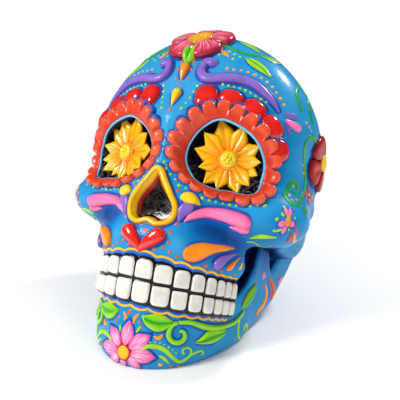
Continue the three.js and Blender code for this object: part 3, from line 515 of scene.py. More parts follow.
def varnished(name, body, rim=None, root=None, streak=None, rough=0.3, coat=0.25, grain=70.0, bump=0.12,
              rim_power=3.0, root_power=2.0, shade=None, core=None, spokes=None, shine=0.3):
    """Brushed paint under clear varnish, its colours 0 to 255. rim colours the edge, core the middle line, root
    the start; streak is the colour of brush lines out from a middle, given as spokes = (middle, one axis, other
    axis); shade = (deep, pale, night) are the colours of painted shade, painted light and painted deep shadow,
    laid by the shade mark of the blue shell."""
    material, w = new_material(name)
    place = w.node("ShaderNodeTexCoord", output="Object")
    wide, fine = w.cloud(place, grain, 3.0), w.cloud(place, grain * 6, 4.0)
    tone = ((wide - 0.5) * 1.6 + 0.5).held()
    run = w.mark("run") if root or streak else None
    edge = w.mark("edge") if rim or core or streak else None
    base = np.array(hue(*body)[:3])
    colour = tone.mix((*base * 0.8, 1.0), (*np.minimum(1.0, base * 1.1 + 0.012), 1.0))
    # painted shade, painted light and painted deep shadow, following the shade mark
    if shade:
        deep, pale, night = (hue(*c) for c in shade)
        mark = w.mark("shade")
        colour = mark.held().mix(colour, deep)
        colour = (0.0 - mark).held().mix(colour, pale)
        colour = (mark - 1.0).held().mix(colour, night)
    if root:
        colour = (((1.0 - run) ** root_power) * (0.7 + 0.6 * tone)).held().mix(colour, hue(*root))
    if streak:
        off = w.vector("SUBTRACT", place, tuple(spokes[0]))
        u, v = (w.vector("DOT_PRODUCT", off, tuple(axis), output="Value") for axis in spokes[1:])
        along = w.node("ShaderNodeCombineXYZ", None, {
            0: w.maths("ARCTAN2", v, u) * 14.0, 1: w.vector("LENGTH", off, output="Value") * 40.0})
        lines = w.cloud(along, 1.0, 2.0)
        where = ((lines - 0.46) * 6.0).held() * ((1.0 - run) * 1.7).held() * (1.0 - edge ** 5.0)
        colour = (where * 0.85).held().mix(colour, hue(*streak))
    if core:
        colour = (((0.34 - edge) * 4.0).held() * 0.85).mix(colour, hue(*core))
    if rim:
        colour = ((edge ** rim_power) * (0.75 + 0.5 * tone)).held().mix(colour, hue(*rim))
    rise = w.node("ShaderNodeBump", None, {"Strength": bump, "Distance": 0.0006, "Height": fine}, "Normal")
    shader = w.node("ShaderNodeBsdfPrincipled", None, {
        "Base Color": colour, "Roughness": rough + (wide - 0.5) * 0.16, "Normal": rise, "Coat Weight": coat,
        "Coat Roughness": 0.12, "Specular IOR Level": shine, "IOR": 1.45})
    w.node("ShaderNodeOutputMaterial", None, {"Surface": shader})
    return material


def wrinkled(name, body, glint, glow, spare):
    """Crumpled black film with painted glints: the creases are painted bright, and glow, where the run mark says
    that light falls on it.
    """
    material, w = new_material(name)
    body, glint = hue(*body), hue(*glint)
    place, lit = w.node("ShaderNodeTexCoord", output="Object"), w.mark("run")
    shift = w.vector("MULTIPLY", w.cloud(place, 70.0, 2.0, "Color"), (0.02, 0.02, 0.02))
    lying = w.vector("MULTIPLY", w.vector("ADD", place, shift), (1.0, 1.0, 2.2))
    ridge = 1.0 - w.maths("ABSOLUTE", w.cloud(lying, 80.0, 1.5) * 2.0 - 1.0)
    # painted glints: bright creases in the base colour and in the glow
    shine = ((((ridge - spare) * 5.0).held() ** 1.3) * lit).held()
    rise = w.node("ShaderNodeBump", None, {"Strength": 0.7, "Distance": 0.003, "Height": ridge}, "Normal")
    shader = w.node("ShaderNodeBsdfPrincipled", None, {
        "Base Color": shine.mix(body, glint), "Roughness": 0.22 + (1.0 - lit) * 0.2, "Normal": rise, "IOR": 1.4,
        "Emission Color": shine.mix((0, 0, 0, 1), glint), "Emission Strength": glow})
    w.node("ShaderNodeOutputMaterial", None, {"Surface": shader})
    return material


def geometry_tree(name, inputs):
    """A new Geometry Nodes tree with named inputs; gives the tree, its input wires and its output node."""
    tree = bpy.data.node_groups.new(name, "GeometryNodeTree")
    tree.interface.new_socket("Geometry", in_out="INPUT", socket_type="NodeSocketGeometry")
    tree.interface.new_socket("Geometry", in_out="OUTPUT", socket_type="NodeSocketGeometry")
    for label, kind in inputs.items():
        tree.interface.new_socket(label, in_out="INPUT", socket_type="NodeSocket" + kind)
    entry = tree.nodes.new("NodeGroupInput")
    return tree, {s.name: Wire(tree, s) for s in entry.outputs if s.name}, tree.nodes.new("NodeGroupOutput")


def close_tree(tree, result, paint, leave):
    """Every tree ends in real faces with one paint."""
    w = Wire(tree)
    real = w.node("GeometryNodeRealizeInstances", None, {"Geometry": result})
    soft = w.node("GeometryNodeSetShadeSmooth", None, {"Geometry": real})
    painted = w.node("GeometryNodeSetMaterial", None, {"Geometry": soft, "Material": paint})
    tree.links.new(painted.socket, leave.inputs[0])
    return tree


def dot_row_tree():
    """Brush dots evenly along each path, flat on the surface, each a little larger or smaller."""
    tree, given, leave = geometry_tree("brush_dots", {
        "Count": "Int", "Dot Radius": "Float", "Dot Height": "Float", "Paint": "Material"})
    w = Wire(tree)
    path = w.node("GeometryNodeMeshToCurve", None, {"Mesh": given["Geometry"]})
    spots = w.node("GeometryNodeResampleCurve", None, {"Curve": path, "Count": given["Count"]})
    facing = w.field("facing", "FLOAT_VECTOR")
    turned = w.node("FunctionNodeAlignRotationToVector", {"axis": "Z"}, {"Vector": facing})
    vary = w.node("FunctionNodeRandomValue", {"data_type": "FLOAT"}, {2: 0.85, 3: 1.15, "Seed": 7}, 1)
    wide = given["Dot Radius"] * vary
    size = w.node("ShaderNodeCombineXYZ", None, {0: wide, 1: wide, 2: given["Dot Height"]})
    dot = w.node("GeometryNodeMeshUVSphere", None, {"Segments": 10, "Rings": 6, "Radius": 1.0})
    made = w.node("GeometryNodeInstanceOnPoints", None, {
        "Points": spots, "Instance": dot, "Rotation": turned, "Scale": size})
    return close_tree(tree, made, given["Paint"], leave)


def copies_tree():
    """Copies of one shape on points, each turned about z and sized by the points' own marks."""
    tree, given, leave = geometry_tree("set_copies", {"Shape": "Object", "Paint": "Material"})
    w = Wire(tree)
    spin = w.node("ShaderNodeCombineXYZ", None, {2: w.field("turn", "FLOAT")})
    size = w.field("size", "FLOAT_VECTOR")
    shape = w.node("GeometryNodeObjectInfo", None, {"Object": given["Shape"]}, "Geometry")
    made = w.node("GeometryNodeInstanceOnPoints", None, {
        "Points": given["Geometry"], "Instance": shape, "Rotation": spin, "Scale": size})
    return close_tree(tree, made, given["Paint"], leave)


GOLDEN_TURN = 2.39996


def seed_head_tree():
    """Small round bumps in a seed-head spiral over a domed disc."""
    tree, given, leave = geometry_tree("seed_head", {
        "Count": "Int", "Disc Radius": "Float", "Disc Height": "Float", "Bump Radius": "Float",
        "Paint": "Material"})
    w = Wire(tree)
    index = w.node("GeometryNodeInputIndex")
    share = (index + 0.5) / given["Count"]
    reach = share ** 0.5
    x, y = (w.maths(wave, index * GOLDEN_TURN) * reach * given["Disc Radius"] for wave in ("COSINE", "SINE"))
    z = given["Disc Height"] * (1.05 - share) ** 0.5
    where = w.node("ShaderNodeCombineXYZ", None, {0: x, 1: y, 2: z})
    spots = w.node("GeometryNodePoints", None, {"Count": given["Count"], "Position": where})
    bump = w.node("GeometryNodeMeshIcoSphere", None, {"Radius": given["Bump Radius"], "Subdivisions": 2})
    made = w.node("GeometryNodeInstanceOnPoints", None, {"Points": spots, "Instance": bump})
    return close_tree(tree, made, given["Paint"], leave)


def run_tree(tree, source, values):
    """Evaluates a tree on a mesh and gives the plain result."""
    carrier = new_object("carrier", source)
    modifier = carrier.modifiers.new("nodes", "NODES")
    modifier.node_group = tree
    sockets = {s.name: s.identifier for s in tree.interface.items_tree if s.in_out == "INPUT"}
    for label, value in values.items():
        modifier[sockets[label]] = value
    made = bpy.data.meshes.new_from_object(carrier.evaluated_get(bpy.context.evaluated_depsgraph_get()))
    bpy.data.objects.remove(carrier)
    return made


def marks_of(mesh, name):
    """A mark's value on each point, 0 if the mesh doesn't carry it."""
    values = np.zeros(len(mesh.vertices), np.float32)
    if name in mesh.attributes:
        mesh.attributes[name].data.foreach_get("value", values)
    return values.astype(float)


def clay_of(mesh, lay=None):
    """A tree's result as clay, laid on a patch if one is given."""
    co = np.zeros(len(mesh.vertices) * 3, np.float32)
    mesh.vertices.foreach_get("co", co)
    p = co.reshape(-1, 3).astype(float)
    p = lay(p[:, 0], p[:, 1], p[:, 2]) if lay else p
    faces = [list(f.vertices) for f in mesh.polygons]
    clay = Clay((p, faces, marks_of(mesh, "edge"), marks_of(mesh, "run")))
    bpy.data.meshes.remove(mesh)
    return clay


def bare_mesh(name, points, edges=(), faces=(), **marks):
    """A mesh with named marks on its points."""
    mesh = bpy.data.meshes.new(name)
    mesh.from_pydata(np.asarray(points).tolist(), list(edges), list(faces))
    for key, value in marks.items():
        value = np.asarray(value, np.float32)
        kind = "FLOAT" if value.ndim == 1 else "FLOAT_VECTOR"
        mark = mesh.attributes.new(key, kind, "POINT")
        mark.data.foreach_set("value" if value.ndim == 1 else "vector", value.ravel())
    return mesh


DOTS, COPIES, SEEDS = dot_row_tree(), copies_tree(), seed_head_tree()


def dot_row(skin, knots, count, radius, material, height=0.7):
    """Dots along a path on a skin; one dot where the path is a single place."""
    if len(knots) == 1:
        knots, count = [knots[0], (knots[0][0] + 0.01, knots[0][1])], 1
    line = spline(knots, max(2, 6 * count))
    p = skin.at(line[:, 0], line[:, 1])
    edges = [(i, i + 1) for i in range(len(p) - 1)]
    source = bare_mesh("dot_path", p, edges, facing=skin.normal(p))
    return clay_of(run_tree(DOTS, source, {
        "Count": count, "Dot Radius": radius, "Dot Height": height, "Paint": material}))


def copies(body, places, material, lay):
    """One body set down on a patch in rows of (x, y, z, turn, size x, size y, size z)."""
    points, faces, edge, run = body
    shape = new_object("shape", bare_mesh("shape", points, (), faces, edge=edge, run=run))
    rows = np.array(places, float)
    source = bare_mesh("places", rows[:, :3], turn=rows[:, 3], size=rows[:, 4:7])
    made = run_tree(COPIES, source, {"Shape": shape, "Paint": material})
    bpy.data.objects.remove(shape)
    return clay_of(made, lay)


def seed_head(radius, height, bump, count, material, lay):
    source = bare_mesh("seeds", [(0, 0, 0)])
    return clay_of(run_tree(SEEDS, source, {
        "Count": count, "Disc Radius": radius, "Disc Height": height, "Bump Radius": bump,
        "Paint": material}), lay)


def flat(u, v, h):
    """The patch of a shape that is laid later."""
    return np.stack([u, v, h], -1)


# ---------------------------------------------------------------- pieces
def piece(name, clay, material, replaces=(), shade=None, outward=True):
    """Clay becomes a piece in the row frame that rides on the skull."""
    marks = {"edge": clay.edge, "run": clay.run}
    if shade is not None:
        marks["shade"] = shade
    points = to_row(clay.points)
    points[:, 2] = np.maximum(points[:, 2], 0)
    mesh = bare_mesh(name, points, (), clay.faces, **marks)
    if outward:
        work = bmesh.new()
        work.from_mesh(mesh)
        bmesh.ops.recalc_face_normals(work, faces=work.faces)
        work.to_mesh(mesh)
        work.free()
    mesh.shade_smooth()
    mesh.materials.append(material)
    made = new_object(name, mesh)
    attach(made, "root")
    if replaces:
        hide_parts(*replaces)
    return made


def pair(name, clay, material, node=None):
    """The same piece on both sides of the skull; node is the solid that it stands for."""
    for side, made in (("l", clay), ("r", clay.mirrored())):
        piece(f"{name}_{side}", made, material, [f"{node}_{side}"] if node else [])


def set_down(name, clay, material, slot, node, twin):
    """One piece in the middle of the skull, or one on each side."""
    if twin:
        pair(name, clay, material, node)
    else:
        piece(name, clay, material, [node])


def walled(made, thickness):
    """Gives an open sheet a wall behind its faces."""
    wall = made.modifiers.new("wall", "SOLIDIFY")
    wall.thickness, wall.offset, wall.use_rim = thickness, -1, True
    mesh = bpy.data.meshes.new_from_object(made.evaluated_get(bpy.context.evaluated_depsgraph_get()))
    made.modifiers.clear()
    old, made.data = made.data, mesh
    mesh.name = made.name
    bpy.data.meshes.remove(old)


# ---------------------------------------------------------------- paints
CROWN_PLACE, CHIN_PLACE = (0.0, 84.5), (0.0, -294.0)
# the blue shell and jaw carry painted shade, painted light and painted deep shadow in these three blues
PAINTED_SHADE_BLUE, PAINTED_LIGHT_BLUE, PAINTED_SHADOW_NAVY = (8, 86, 160), (90, 174, 214), (4, 20, 62)
blue_paint = varnished("blue_shell_paint", (24, 138, 194), shade=(PAINTED_SHADE_BLUE, PAINTED_LIGHT_BLUE, PAINTED_SHADOW_NAVY), coat=0.15,
                       grain=30, shine=0.08)
royal_paint = varnished("royal_blue_line", (8, 84, 176), rough=0.35, coat=0.2, shine=0.15)
gum_blue_paint = varnished("gum_blue_line", (24, 104, 204), rough=0.35, coat=0.2, shine=0.15)
pale_lip_paint = varnished("pale_blue_lip", (104, 186, 226), rim=(60, 150, 210))
# darker towards the inner edge and in the grooves is painted shade; lighter towards the scallops' outer rims is
# painted highlight
ring_paint = varnished("orange_red_scallops", (220, 72, 40), root=(188, 44, 24), rim=(232, 104, 70),
                       root_power=1.0, rough=0.26)
lobe_paint = varnished("red_lobes", (218, 24, 12), rim=(186, 14, 10), rough=0.16, coat=0.9)
heart_paint = varnished("red_heart", (238, 36, 22), rim=(206, 20, 16), rough=0.18, coat=0.9)
gold_paint = varnished("gold_petals", (250, 194, 2), root=(240, 112, 2), rim=(232, 134, 2),
                       root_power=1.6, rim_power=2, rough=0.22, coat=0.5)
disc_paint = varnished("yellow_disc", (238, 206, 40), rim=(224, 150, 20))
crown_disc_paint = varnished("golden_disc", (214, 158, 34), rim=(190, 110, 20))
nose_paint = varnished("yellow_nose_rim", (240, 188, 14), rim=(214, 140, 10), rim_power=2)
wall_paint = varnished("dark_red_wall", (170, 24, 12), rim=(120, 12, 8))
yellow_paint = varnished("yellow_drop_paint", (240, 200, 28), rim=(222, 160, 14))
orange_paint = varnished("orange_drop_paint", (242, 140, 16), rim=(230, 112, 10))
purple_paint = varnished("purple_scroll_paint", (128, 98, 186), rim=(104, 76, 168))
pink_paint = varnished("pink_swoosh_paint", (248, 116, 166), rim=(236, 92, 148))
crown_top = to_row(head.at(*CROWN_PLACE))
crimson_paint = varnished("crimson_petals", (204, 44, 82), rim=(146, 18, 50), streak=(240, 176, 190),
                          spokes=(crown_top, (1, 0, 0), LEAN @ [0, 1, 0]), rim_power=4)
side_petal_paint = varnished("dark_red_petals", (178, 28, 30), rim=(120, 14, 24))
lime_leaf_paint = varnished("lime_leaves", (88, 194, 22), rim=(178, 220, 10), rim_power=1.8,
                            core=(36, 146, 22))
vine_paint = varnished("green_vine", (142, 208, 22), rim=(70, 176, 24), rough=0.22, coat=0.5)
chin_middle = to_row(jaw.at(*CHIN_PLACE))
chin_petal_paint = varnished("chin_petals", (248, 116, 178), rim=(220, 50, 128), streak=(255, 226, 238),
                             spokes=(chin_middle, (1, 0, 0), (0, 0, 1)))
# the lighter rim is a painted highlight along the teeth's edges
ivory_paint = varnished("ivory_teeth", (222, 218, 208), rim=(246, 244, 240), rim_power=6, rough=0.26,
                        bump=0.06)
gum_paint = varnished("black_gum_line", (16, 14, 16))
# the linings' bright creases are painted glints, and they glow
lining_paint = wrinkled("black_wrinkled_lining", (12, 10, 9), (206, 202, 196), 1.3, 0.84)
nose_glint_paint = wrinkled("silver_wrinkled_lining", (14, 12, 11), (222, 216, 208), 1.7, 0.7)
resin_paint = varnished("bare_resin_back", (112, 106, 92), rough=0.6, coat=0.0)
BRUSHES = {  # colour, colour at the rim, and slot
    "lime": ((158, 208, 14), (120, 190, 20), "lime"),
    "green": ((22, 150, 66), (20, 150, 70), "green"),
    "orange": ((236, 152, 30), (220, 120, 20), "orange"),
    "red": ((226, 84, 26), (202, 64, 22), "orange_red"),
    "scarlet": ((206, 34, 30), (160, 20, 20), "red"),
    "yellow": ((244, 186, 24), (230, 150, 16), "yellow"),
    "purple": ((122, 92, 184), (100, 74, 168), "purple"),
    "pink": ((248, 120, 178), (226, 80, 150), "pink"),
    "magenta": ((196, 70, 140), (170, 50, 120), "crimson")}
brush = {name: varnished(f"{name}_brush", body, rim) for name, (body, rim, _) in BRUSHES.items()}

# ---------------------------------------------------------------- openings
EYE_EDGE = [
    (35.5, 37, 29), (49, 37.5, 28), (61.5, 28.5, 24), (69.5, 19, 22), (74.5, 8, 21.5), (73.5, -5, 20.5),
    (69, -10, 16), (61, -11, 13.5), (50, -12, 13.5), (38, -8.5, 15.5), (27, 7, 23), (25, 19, 28), (28, 30, 30)]
EYE_MIDDLE, EYE_FACING = (61, 12), (12, 2)
NOSE_HALF = [(8.5, -14.5), (16.5, -24.5), (21.8, -32), (20.6, -37.8), (10.5, -41)]
NOSE_EDGE = [(0, -4.5), *NOSE_HALF, (0, -39.8), *[(-a, e) for a, e in NOSE_HALF[::-1]]]
NOSE_MIDDLE = (0, -31)


def inside(a, e, outline, middle, grow):
    """Whether places lie in an outline grown about its middle."""
    x, y = (np.array(middle) + grow * (np.array(outline)[:, :2] - middle)).T
    x2, y2 = np.roll(x, -1), np.roll(y, -1)
    hit = np.zeros(np.shape(a), bool)
    for x0, y0, x1, y1 in zip(x, y, x2, y2):
        crosses = (y0 > e) != (y1 > e)
        hit ^= crosses & (a < (x1 - x0) * (e - y0) / (y1 - y0 + 1e-12) + x0)
    return hit


eye_line = spline(EYE_EDGE, 240, True)
nose_line = spline(NOSE_EDGE, 160, True)

# ---------------------------------------------------------------- shells
SPOTS = [  # place, spread in millimetres and depth of the painted shade and light: painted shade above 0, painted light below
    (44, -38, 18, 0.8), (56, -36, 20, 1.0), (66, -36, 20, 1.0), (74, -38, 18, 0.7), (24, 38, 26, -0.25),
    (6, 60, 60, -0.12), (0, 24, 26, -0.15), (12, -36, 20, -0.2), (34, 66, 30, -0.15), (96, -4, 24, 0.35),
    (90, 40, 40, -0.1), (30, -46, 14, -0.35), (52, -52, 20, 0.2), (78, -24, 20, 0.35),
    (110, -12, 36, 0.35)]


def shell_shade(points):
    """Painted shade and painted light: the spots on both sides, and painted deep shadow where the shell faces the
    jaw's room.
    """
    total = 2.4 * np.clip((5 - jaw_room(points)) / 6, 0, 1)
    folded = np.column_stack([abs(points[:, 0]), points[:, 1:]])
    for a, e, spread, depth in SPOTS:
        gap = np.linalg.norm(folded - head.at(a, e), axis=1)
        total += depth * np.exp(-(gap / spread) ** 2)
    return np.clip(total, -1, 2)


def head_shells(round_steps=300, up_steps=168):
    """The head as two painted shells with a parting line, open at the eyes, the nose and the neck."""
    a, e = np.meshgrid(np.linspace(-180, 180, round_steps, endpoint=False), np.linspace(-89, 89, up_steps),
                       indexing="ij")
    p = head.at(a, e)
    poles = head.at(np.zeros(2), np.array([-90.0, 90.0]))
    points = np.concatenate([p.reshape(-1, 3), poles])
    index = np.arange(round_steps * up_steps).reshape(round_steps, up_steps)
    nxt = np.roll(index, -1, 0)
    quads = np.stack([index[:, :-1], nxt[:, :-1], nxt[:, 1:], index[:, 1:]], -1).reshape(-1, 4)
    across, rise = (a[:, :-1] + 180 / round_steps).ravel(), ((e[:, :-1] + e[:, 1:]) / 2).ravel()
    centre = points[quads].mean(1)
    foot = centre @ LEAN.T
    foot_gap = np.hypot(foot[:, 0], foot[:, 1] - FOOT_Y)
    cut = inside(abs(across), rise, eye_line, EYE_MIDDLE, 1.12)
    cut |= inside(across, rise, nose_line, NOSE_MIDDLE, 1.1)
    cut |= (foot_gap < FOOT_RADIUS - FOOT_WALL / 2) & (centre[:, 2] < MIDDLE[2])
    low, high = len(points) - 2, len(points) - 1
    caps = [[low, nxt[i, 0], index[i, 0]] for i in range(round_steps)]
    caps += [[high, index[i, -1], nxt[i, -1]] for i in range(round_steps)]
    # painted shade and painted light on the shell, carried by the shade mark
    shade = shell_shade(points)
    front = centre[:, 1] < SEAM_Y
    shared = np.intersect1d(quads[front], quads[~front])
    seam = points[shared]  # the steps between the two shells are drawn to one smooth line
    seam[:, 1] = SEAM_Y
    for _ in range(6):
        lean = head.normal(seam) * [1, 0, 1]
        seam = seam - head_distance(seam)[:, None] * lean / np.maximum(np.sum(lean ** 2, 1), 0.2)[:, None]
    points[shared] = seam
    for name, keep, ends, *nodes in (("face_shell_painted", front, caps, "face_shell"),
                                     ("rear_shell_painted", ~front, [], "rear_shell", "neck_collar")):
        faces = quads[keep & ~cut].tolist() + ends
        used = np.unique(np.concatenate([np.ravel(f) for f in faces]))
        renumber = np.zeros(len(points), int)
        renumber[used] = np.arange(len(used))
        clay = Clay((points[used], [renumber[f].tolist() for f in faces], 0.0, 0.0))
        made = piece(name, clay, blue_paint, nodes, shade[used], outward=False)
        walled(made, SHELL_WALL / 1000)


head_shells()


# ---------------------------------------------------------------- lower jaw
BRANCH_SPLIT = 236  # where the branch's front horn ends and its notch begins


def jaw_body(stations=180, rows=26):
    """The jaw and its painted shade: dark inside, on the branch's front edge, in its notch and up its horn."""
    s = np.linspace(-jaw.length, jaw.length, stations)
    bottom, top, wall = jaw.sizes(s)
    w = np.sin(np.linspace(-math.pi / 2, math.pi / 2, rows))
    bulge = (1 - abs(w) ** 5) ** 0.25
    w, bulge = np.concatenate([w, w[-2:0:-1]]), np.concatenate([bulge, -bulge[-2:0:-1]])
    z = (top + bottom)[:, None] / 2 + (top - bottom)[:, None] / 2 * w
    inset = wall[:, None] / 2 * (bulge - 1)
    loops = jaw.put(np.repeat(s[:, None], len(w), 1), z, inset)
    inner = np.tile(np.where(bulge < 0, 1.0, 0.0), len(s))
    branch = np.clip((abs(s) - 150) / 60, 0, 1)[:, None]
    horn = np.clip((z + 184) / 34, 0, 1) * branch * np.clip((BRANCH_SPLIT + 4 - abs(s)) / 10, 0, 1)[:, None]
    rear = np.clip((abs(s) - 138) / 14, 0, 1)[:, None]
    front = np.clip((-inset - 2.2) / 3, 0, 1) * (w > 0) * rear * (abs(s) < BRANCH_SPLIT)[:, None]
    notch = np.clip((-inset - 3) / 3, 0, 1) * (w > 0) * (abs(s) >= BRANCH_SPLIT)[:, None]
    shade = np.clip(1.2 * inner + (2 * front + 1.8 * notch + 1.5 * horn).ravel(), -1, 2)
    return Clay((loops.reshape(-1, 3), loft(loops), 0.0, 0.0)), shade


jaw_clay, jaw_shade = jaw_body()
piece("lower_jaw_painted", jaw_clay, blue_paint, ["lower_jaw"], jaw_shade)


# ---------------------------------------------------------------- eye and nose linings
def edge_frame(line, middle):
    """Points of an opening's edge, the direction out of the opening along the skin, and the skin's normal."""
    p = head.at(line[:, 0], line[:, 1])
    up = head.normal(p)
    out = unit(np.cross(np.roll(p, -1, 0) - np.roll(p, 1, 0), up))
    if np.mean(np.sum(out * (p - head.at(*middle)), 1)) < 0:
        out = -out
    return p, out, up


FILM = 0.002


def lining(line, middle, floor, facing, radius, inset, depths, flare, fold, glints):
    """A wrinkled cup from behind the edge of an opening, widening, then in to a round floor.
    glints are the places and spreads in millimetres of its painted glints, bright creases that also glow."""
    edge, out, _ = edge_frame(line, middle)
    point, up = np.array(floor, float), direction(*map(float, facing))
    inward = -unit(unit(edge - MIDDLE) + up)
    spread = flare * np.sin(np.linspace(0, math.pi / 2, 10)) - inset
    loops = [edge + depth * inward + grow * out for depth, grow in zip(np.linspace(*depths, 10), spread)]
    neck = loops[-1]
    rel = neck - point
    disc = point + radius * unit(rel - (rel @ up)[:, None] * up)
    loops += [neck + (disc - neck) * t for t in np.sin(np.linspace(0, math.pi / 2, 20))[1:]]
    loops += [point + (disc - point) * (1 - t) for t in np.linspace(0, 0.96, 10)[1:]]
    loops = np.array(loops)
    toward = unit(point + 30 * up - loops)
    deep = np.clip((np.arange(len(loops)) - 6) / 8, 0, 1)[:, None]
    crumple = np.array([[noise.noise(Vector(q) * 0.09 * fold) + 0.6 * abs(noise.noise(Vector(q) * 0.19 * fold))
                         for q in row] for row in loops])
    loops = loops + toward * (4.0 / fold ** 0.5 * deep * crumple)[..., None]
    n, m = loops.shape[:2]
    index = np.arange(n * m).reshape(n, m)
    a, b = index[:-1], index[1:]
    faces = np.stack([a, np.roll(a, -1, 1), np.roll(b, -1, 1), b], -1).reshape(-1, 4).tolist()
    faces.append(index[-1].tolist())
    points = loops.reshape(-1, 3)
    first = points[faces[14 * m]]
    if np.cross(first[1] - first[0], first[2] - first[0]) @ (point + 30 * up - first[0]) < 0:
        faces = [f[::-1] for f in faces]
    # where the painted glints lie
    light = np.zeros(len(points))
    for across, rise, reach in glints:
        place = MIDDLE + 0.84 * (head.at(float(across), float(rise)) - MIDDLE)
        light += np.exp(-(np.linalg.norm(points - place, axis=1) / reach) ** 2)
    return Clay((points, faces, 0.0, np.clip(light, 0, 1)))


def cup(name, clay, node, paint=lining_paint):
    walled(piece(name, clay, paint, [node], outward=False), FILM)


eye_cup = lining(spline(EYE_EDGE, 150, True), EYE_MIDDLE, floor=(60, -86, -40), facing=EYE_FACING, radius=30,
                 inset=0.5, depths=(2, 26), flare=12, fold=1.0, glints=[(35, 2, 15), (71, 0, 22)])
cup("eye_lining_l", eye_cup, "eye_cup_l")
cup("eye_lining_r", eye_cup.mirrored(), "eye_cup_r")
nose_cup = lining(spline(NOSE_EDGE, 120, True), NOSE_MIDDLE, floor=(3, -128, -102), facing=(0, -8), radius=14,
                  inset=3.6, depths=(9, 14), flare=3, fold=2.2, glints=[(19, -37, 21)])
cup("nose_lining", nose_cup, "nose_cup", nose_glint_paint)


def opening_lip(line, middle, offset, half, height):
    """A raised band round an opening."""
    edge, out, _ = edge_frame(line, middle)
    return ribbon(head, head.settle(edge + offset * out), half + np.zeros(len(edge)), height, closed=True)


lip_half = 0.5 + 1.5 * np.clip((eye_line[:, 1] + 9) / 5, 0, 1)
pair("eye_lip", Clay(opening_lip(eye_line, EYE_MIDDLE, 0.5, lip_half, 1.5)), pale_lip_paint)


def nose_wall(*rows):
    """A band round the inside of the nose opening; rows are places out from its edge and above the skin."""
    edge, out, up = edge_frame(nose_line, NOSE_MIDDLE)
    loops = np.stack([edge + o * out + h * up for o, h in rows], 1)
    return loops.reshape(-1, 3), loft(loops, True), 0.3, 0.0


red_wall = nose_wall((-1.2, -5.6), (-2.7, -6.6), (-3.5, -10), (-4.2, -14), (-2.4, -14), (-0.6, -9))
piece("nose_inner_wall", Clay(red_wall), wall_paint)
gold_wall = nose_wall((1.5, 3.6), (-0.2, 3.2), (-1.4, 0), (-2.3, -4), (-2.8, -6.8), (-1, -6.8), (1, -2), (2, 1))
nose_rim = Clay(opening_lip(nose_line, NOSE_MIDDLE, 2.7, 3.9, 6.2), gold_wall)
piece("nose_rim_raised", nose_rim, nose_paint, ["nose_rim"])

# ---------------------------------------------------------------- scalloped rings and lobes
RING_LIP, RING_HEIGHT, SCALLOPS, SCALLOP_STEPS, SCALLOP_DEPTH = 1.2, 9.5, 20, 14, 11
RING_SECTION = [  # share of the width, height share, how far the groove between scallops reaches in
    (0.0, 0.2, 0), (0.1, 0.34, 0), (0.22, 0.42, 0), (0.36, 0.5, 0), (0.46, 0.62, 0.08), (0.56, 0.84, 0.3),
    (0.66, 1.0, 0.7), (0.78, 1.0, 0.95), (0.88, 0.86, 1.0), (0.95, 0.6, 1.0), (0.99, 0.3, 1.0), (1.0, 0.0, 1.0)]


def ring_stations():
    """Places round the eye, spaced so that the scallops come out equally wide on the skull."""
    fine = spline(EYE_EDGE, 720, True)
    edge, out, _ = edge_frame(fine, EYE_MIDDLE)
    brim = edge + out * (0.75 * fine[:, 2])[:, None]
    run = distances(np.vstack([brim, brim[:1]]))
    goal = np.arange(SCALLOPS * SCALLOP_STEPS) / SCALLOP_STEPS / SCALLOPS * run[-1]
    return np.stack([np.interp(goal, run, np.append(c, c[0])) for c in fine.T], -1)


def ring_wall(grow=0.0, outline=None):
    """Loops round the eye: a smooth inner band that breaks into rounded scallops. Given the heights of an
    outline, it is a flat line round the same shape."""
    line = ring_stations()
    edge, out, _ = edge_frame(line, EYE_MIDDLE)
    phase = np.arange(len(line)) % SCALLOP_STEPS / SCALLOP_STEPS * 2 - 1
    bump = (1 - abs(phase) ** 2.6) ** 0.5
    depth = np.minimum(SCALLOP_DEPTH, 0.58 * line[:, 2])
    width = line[:, 2] - depth * (1 - bump) - RING_LIP + grow
    rows, heights, edges, runs = [], [], [], []
    for share, rise, groove in RING_SECTION:
        cut = 1 - 0.85 * groove * abs(phase) ** 4
        rows.append(RING_LIP + share * width)
        climb = 0.6 if share < 0.8 else outline
        heights.append(RING_HEIGHT * rise * cut if outline is None else climb * min(1, rise * 8))
        edges.append(np.full(len(line), max(0, share - 0.35) / 0.65))
        runs.append(np.clip(share * 1.6 - 0.5 * groove * abs(phase) ** 6, 0, 1))
    rows += [RING_LIP + 0.9 * width, np.full(len(line), RING_LIP + 1.0)]
    heights += [np.full(len(line), -1.5)] * 2
    edges += [np.ones(len(line))] * 2
    runs += [np.zeros(len(line))] * 2
    across, h = np.stack(rows, 1), np.stack([np.broadcast_to(x, len(line)) for x in heights], 1)
    q = edge[:, None] + out[:, None] * across[..., None]
    p = head.settle(q.reshape(-1, 3))
    p = p + h.reshape(-1, 1) * head.normal(p)
    return p, loft(p.reshape(len(line), -1, 3), True), np.stack(edges, 1).ravel(), np.stack(runs, 1).ravel()


pair("eye_ring_scalloped", Clay(ring_wall()), ring_paint, "eye_ring")


def ring_line():
    """Height of the blue line round the ring: it climbs over the lobes where they tuck in."""
    line = ring_stations()
    turn = np.degrees(np.arctan2(line[:, 1] - EYE_MIDDLE[1], line[:, 0] - EYE_MIDDLE[0] + 11))
    return np.where((turn > 0) & (turn < 128), 6.2, 0.6)


LOBE_CUSPS = [(26.8, 51.3), (48.2, 50.8), (62.8, 41.8), (71.4, 31.5), (76.7, 19.8), (79.4, 9.4)]
LOBE_CRESTS = [(35.6, 59.4), (56, 51.3), (69.4, 41), (77.5, 27.5), (82, 15)]
LOBE_TUCK = 10


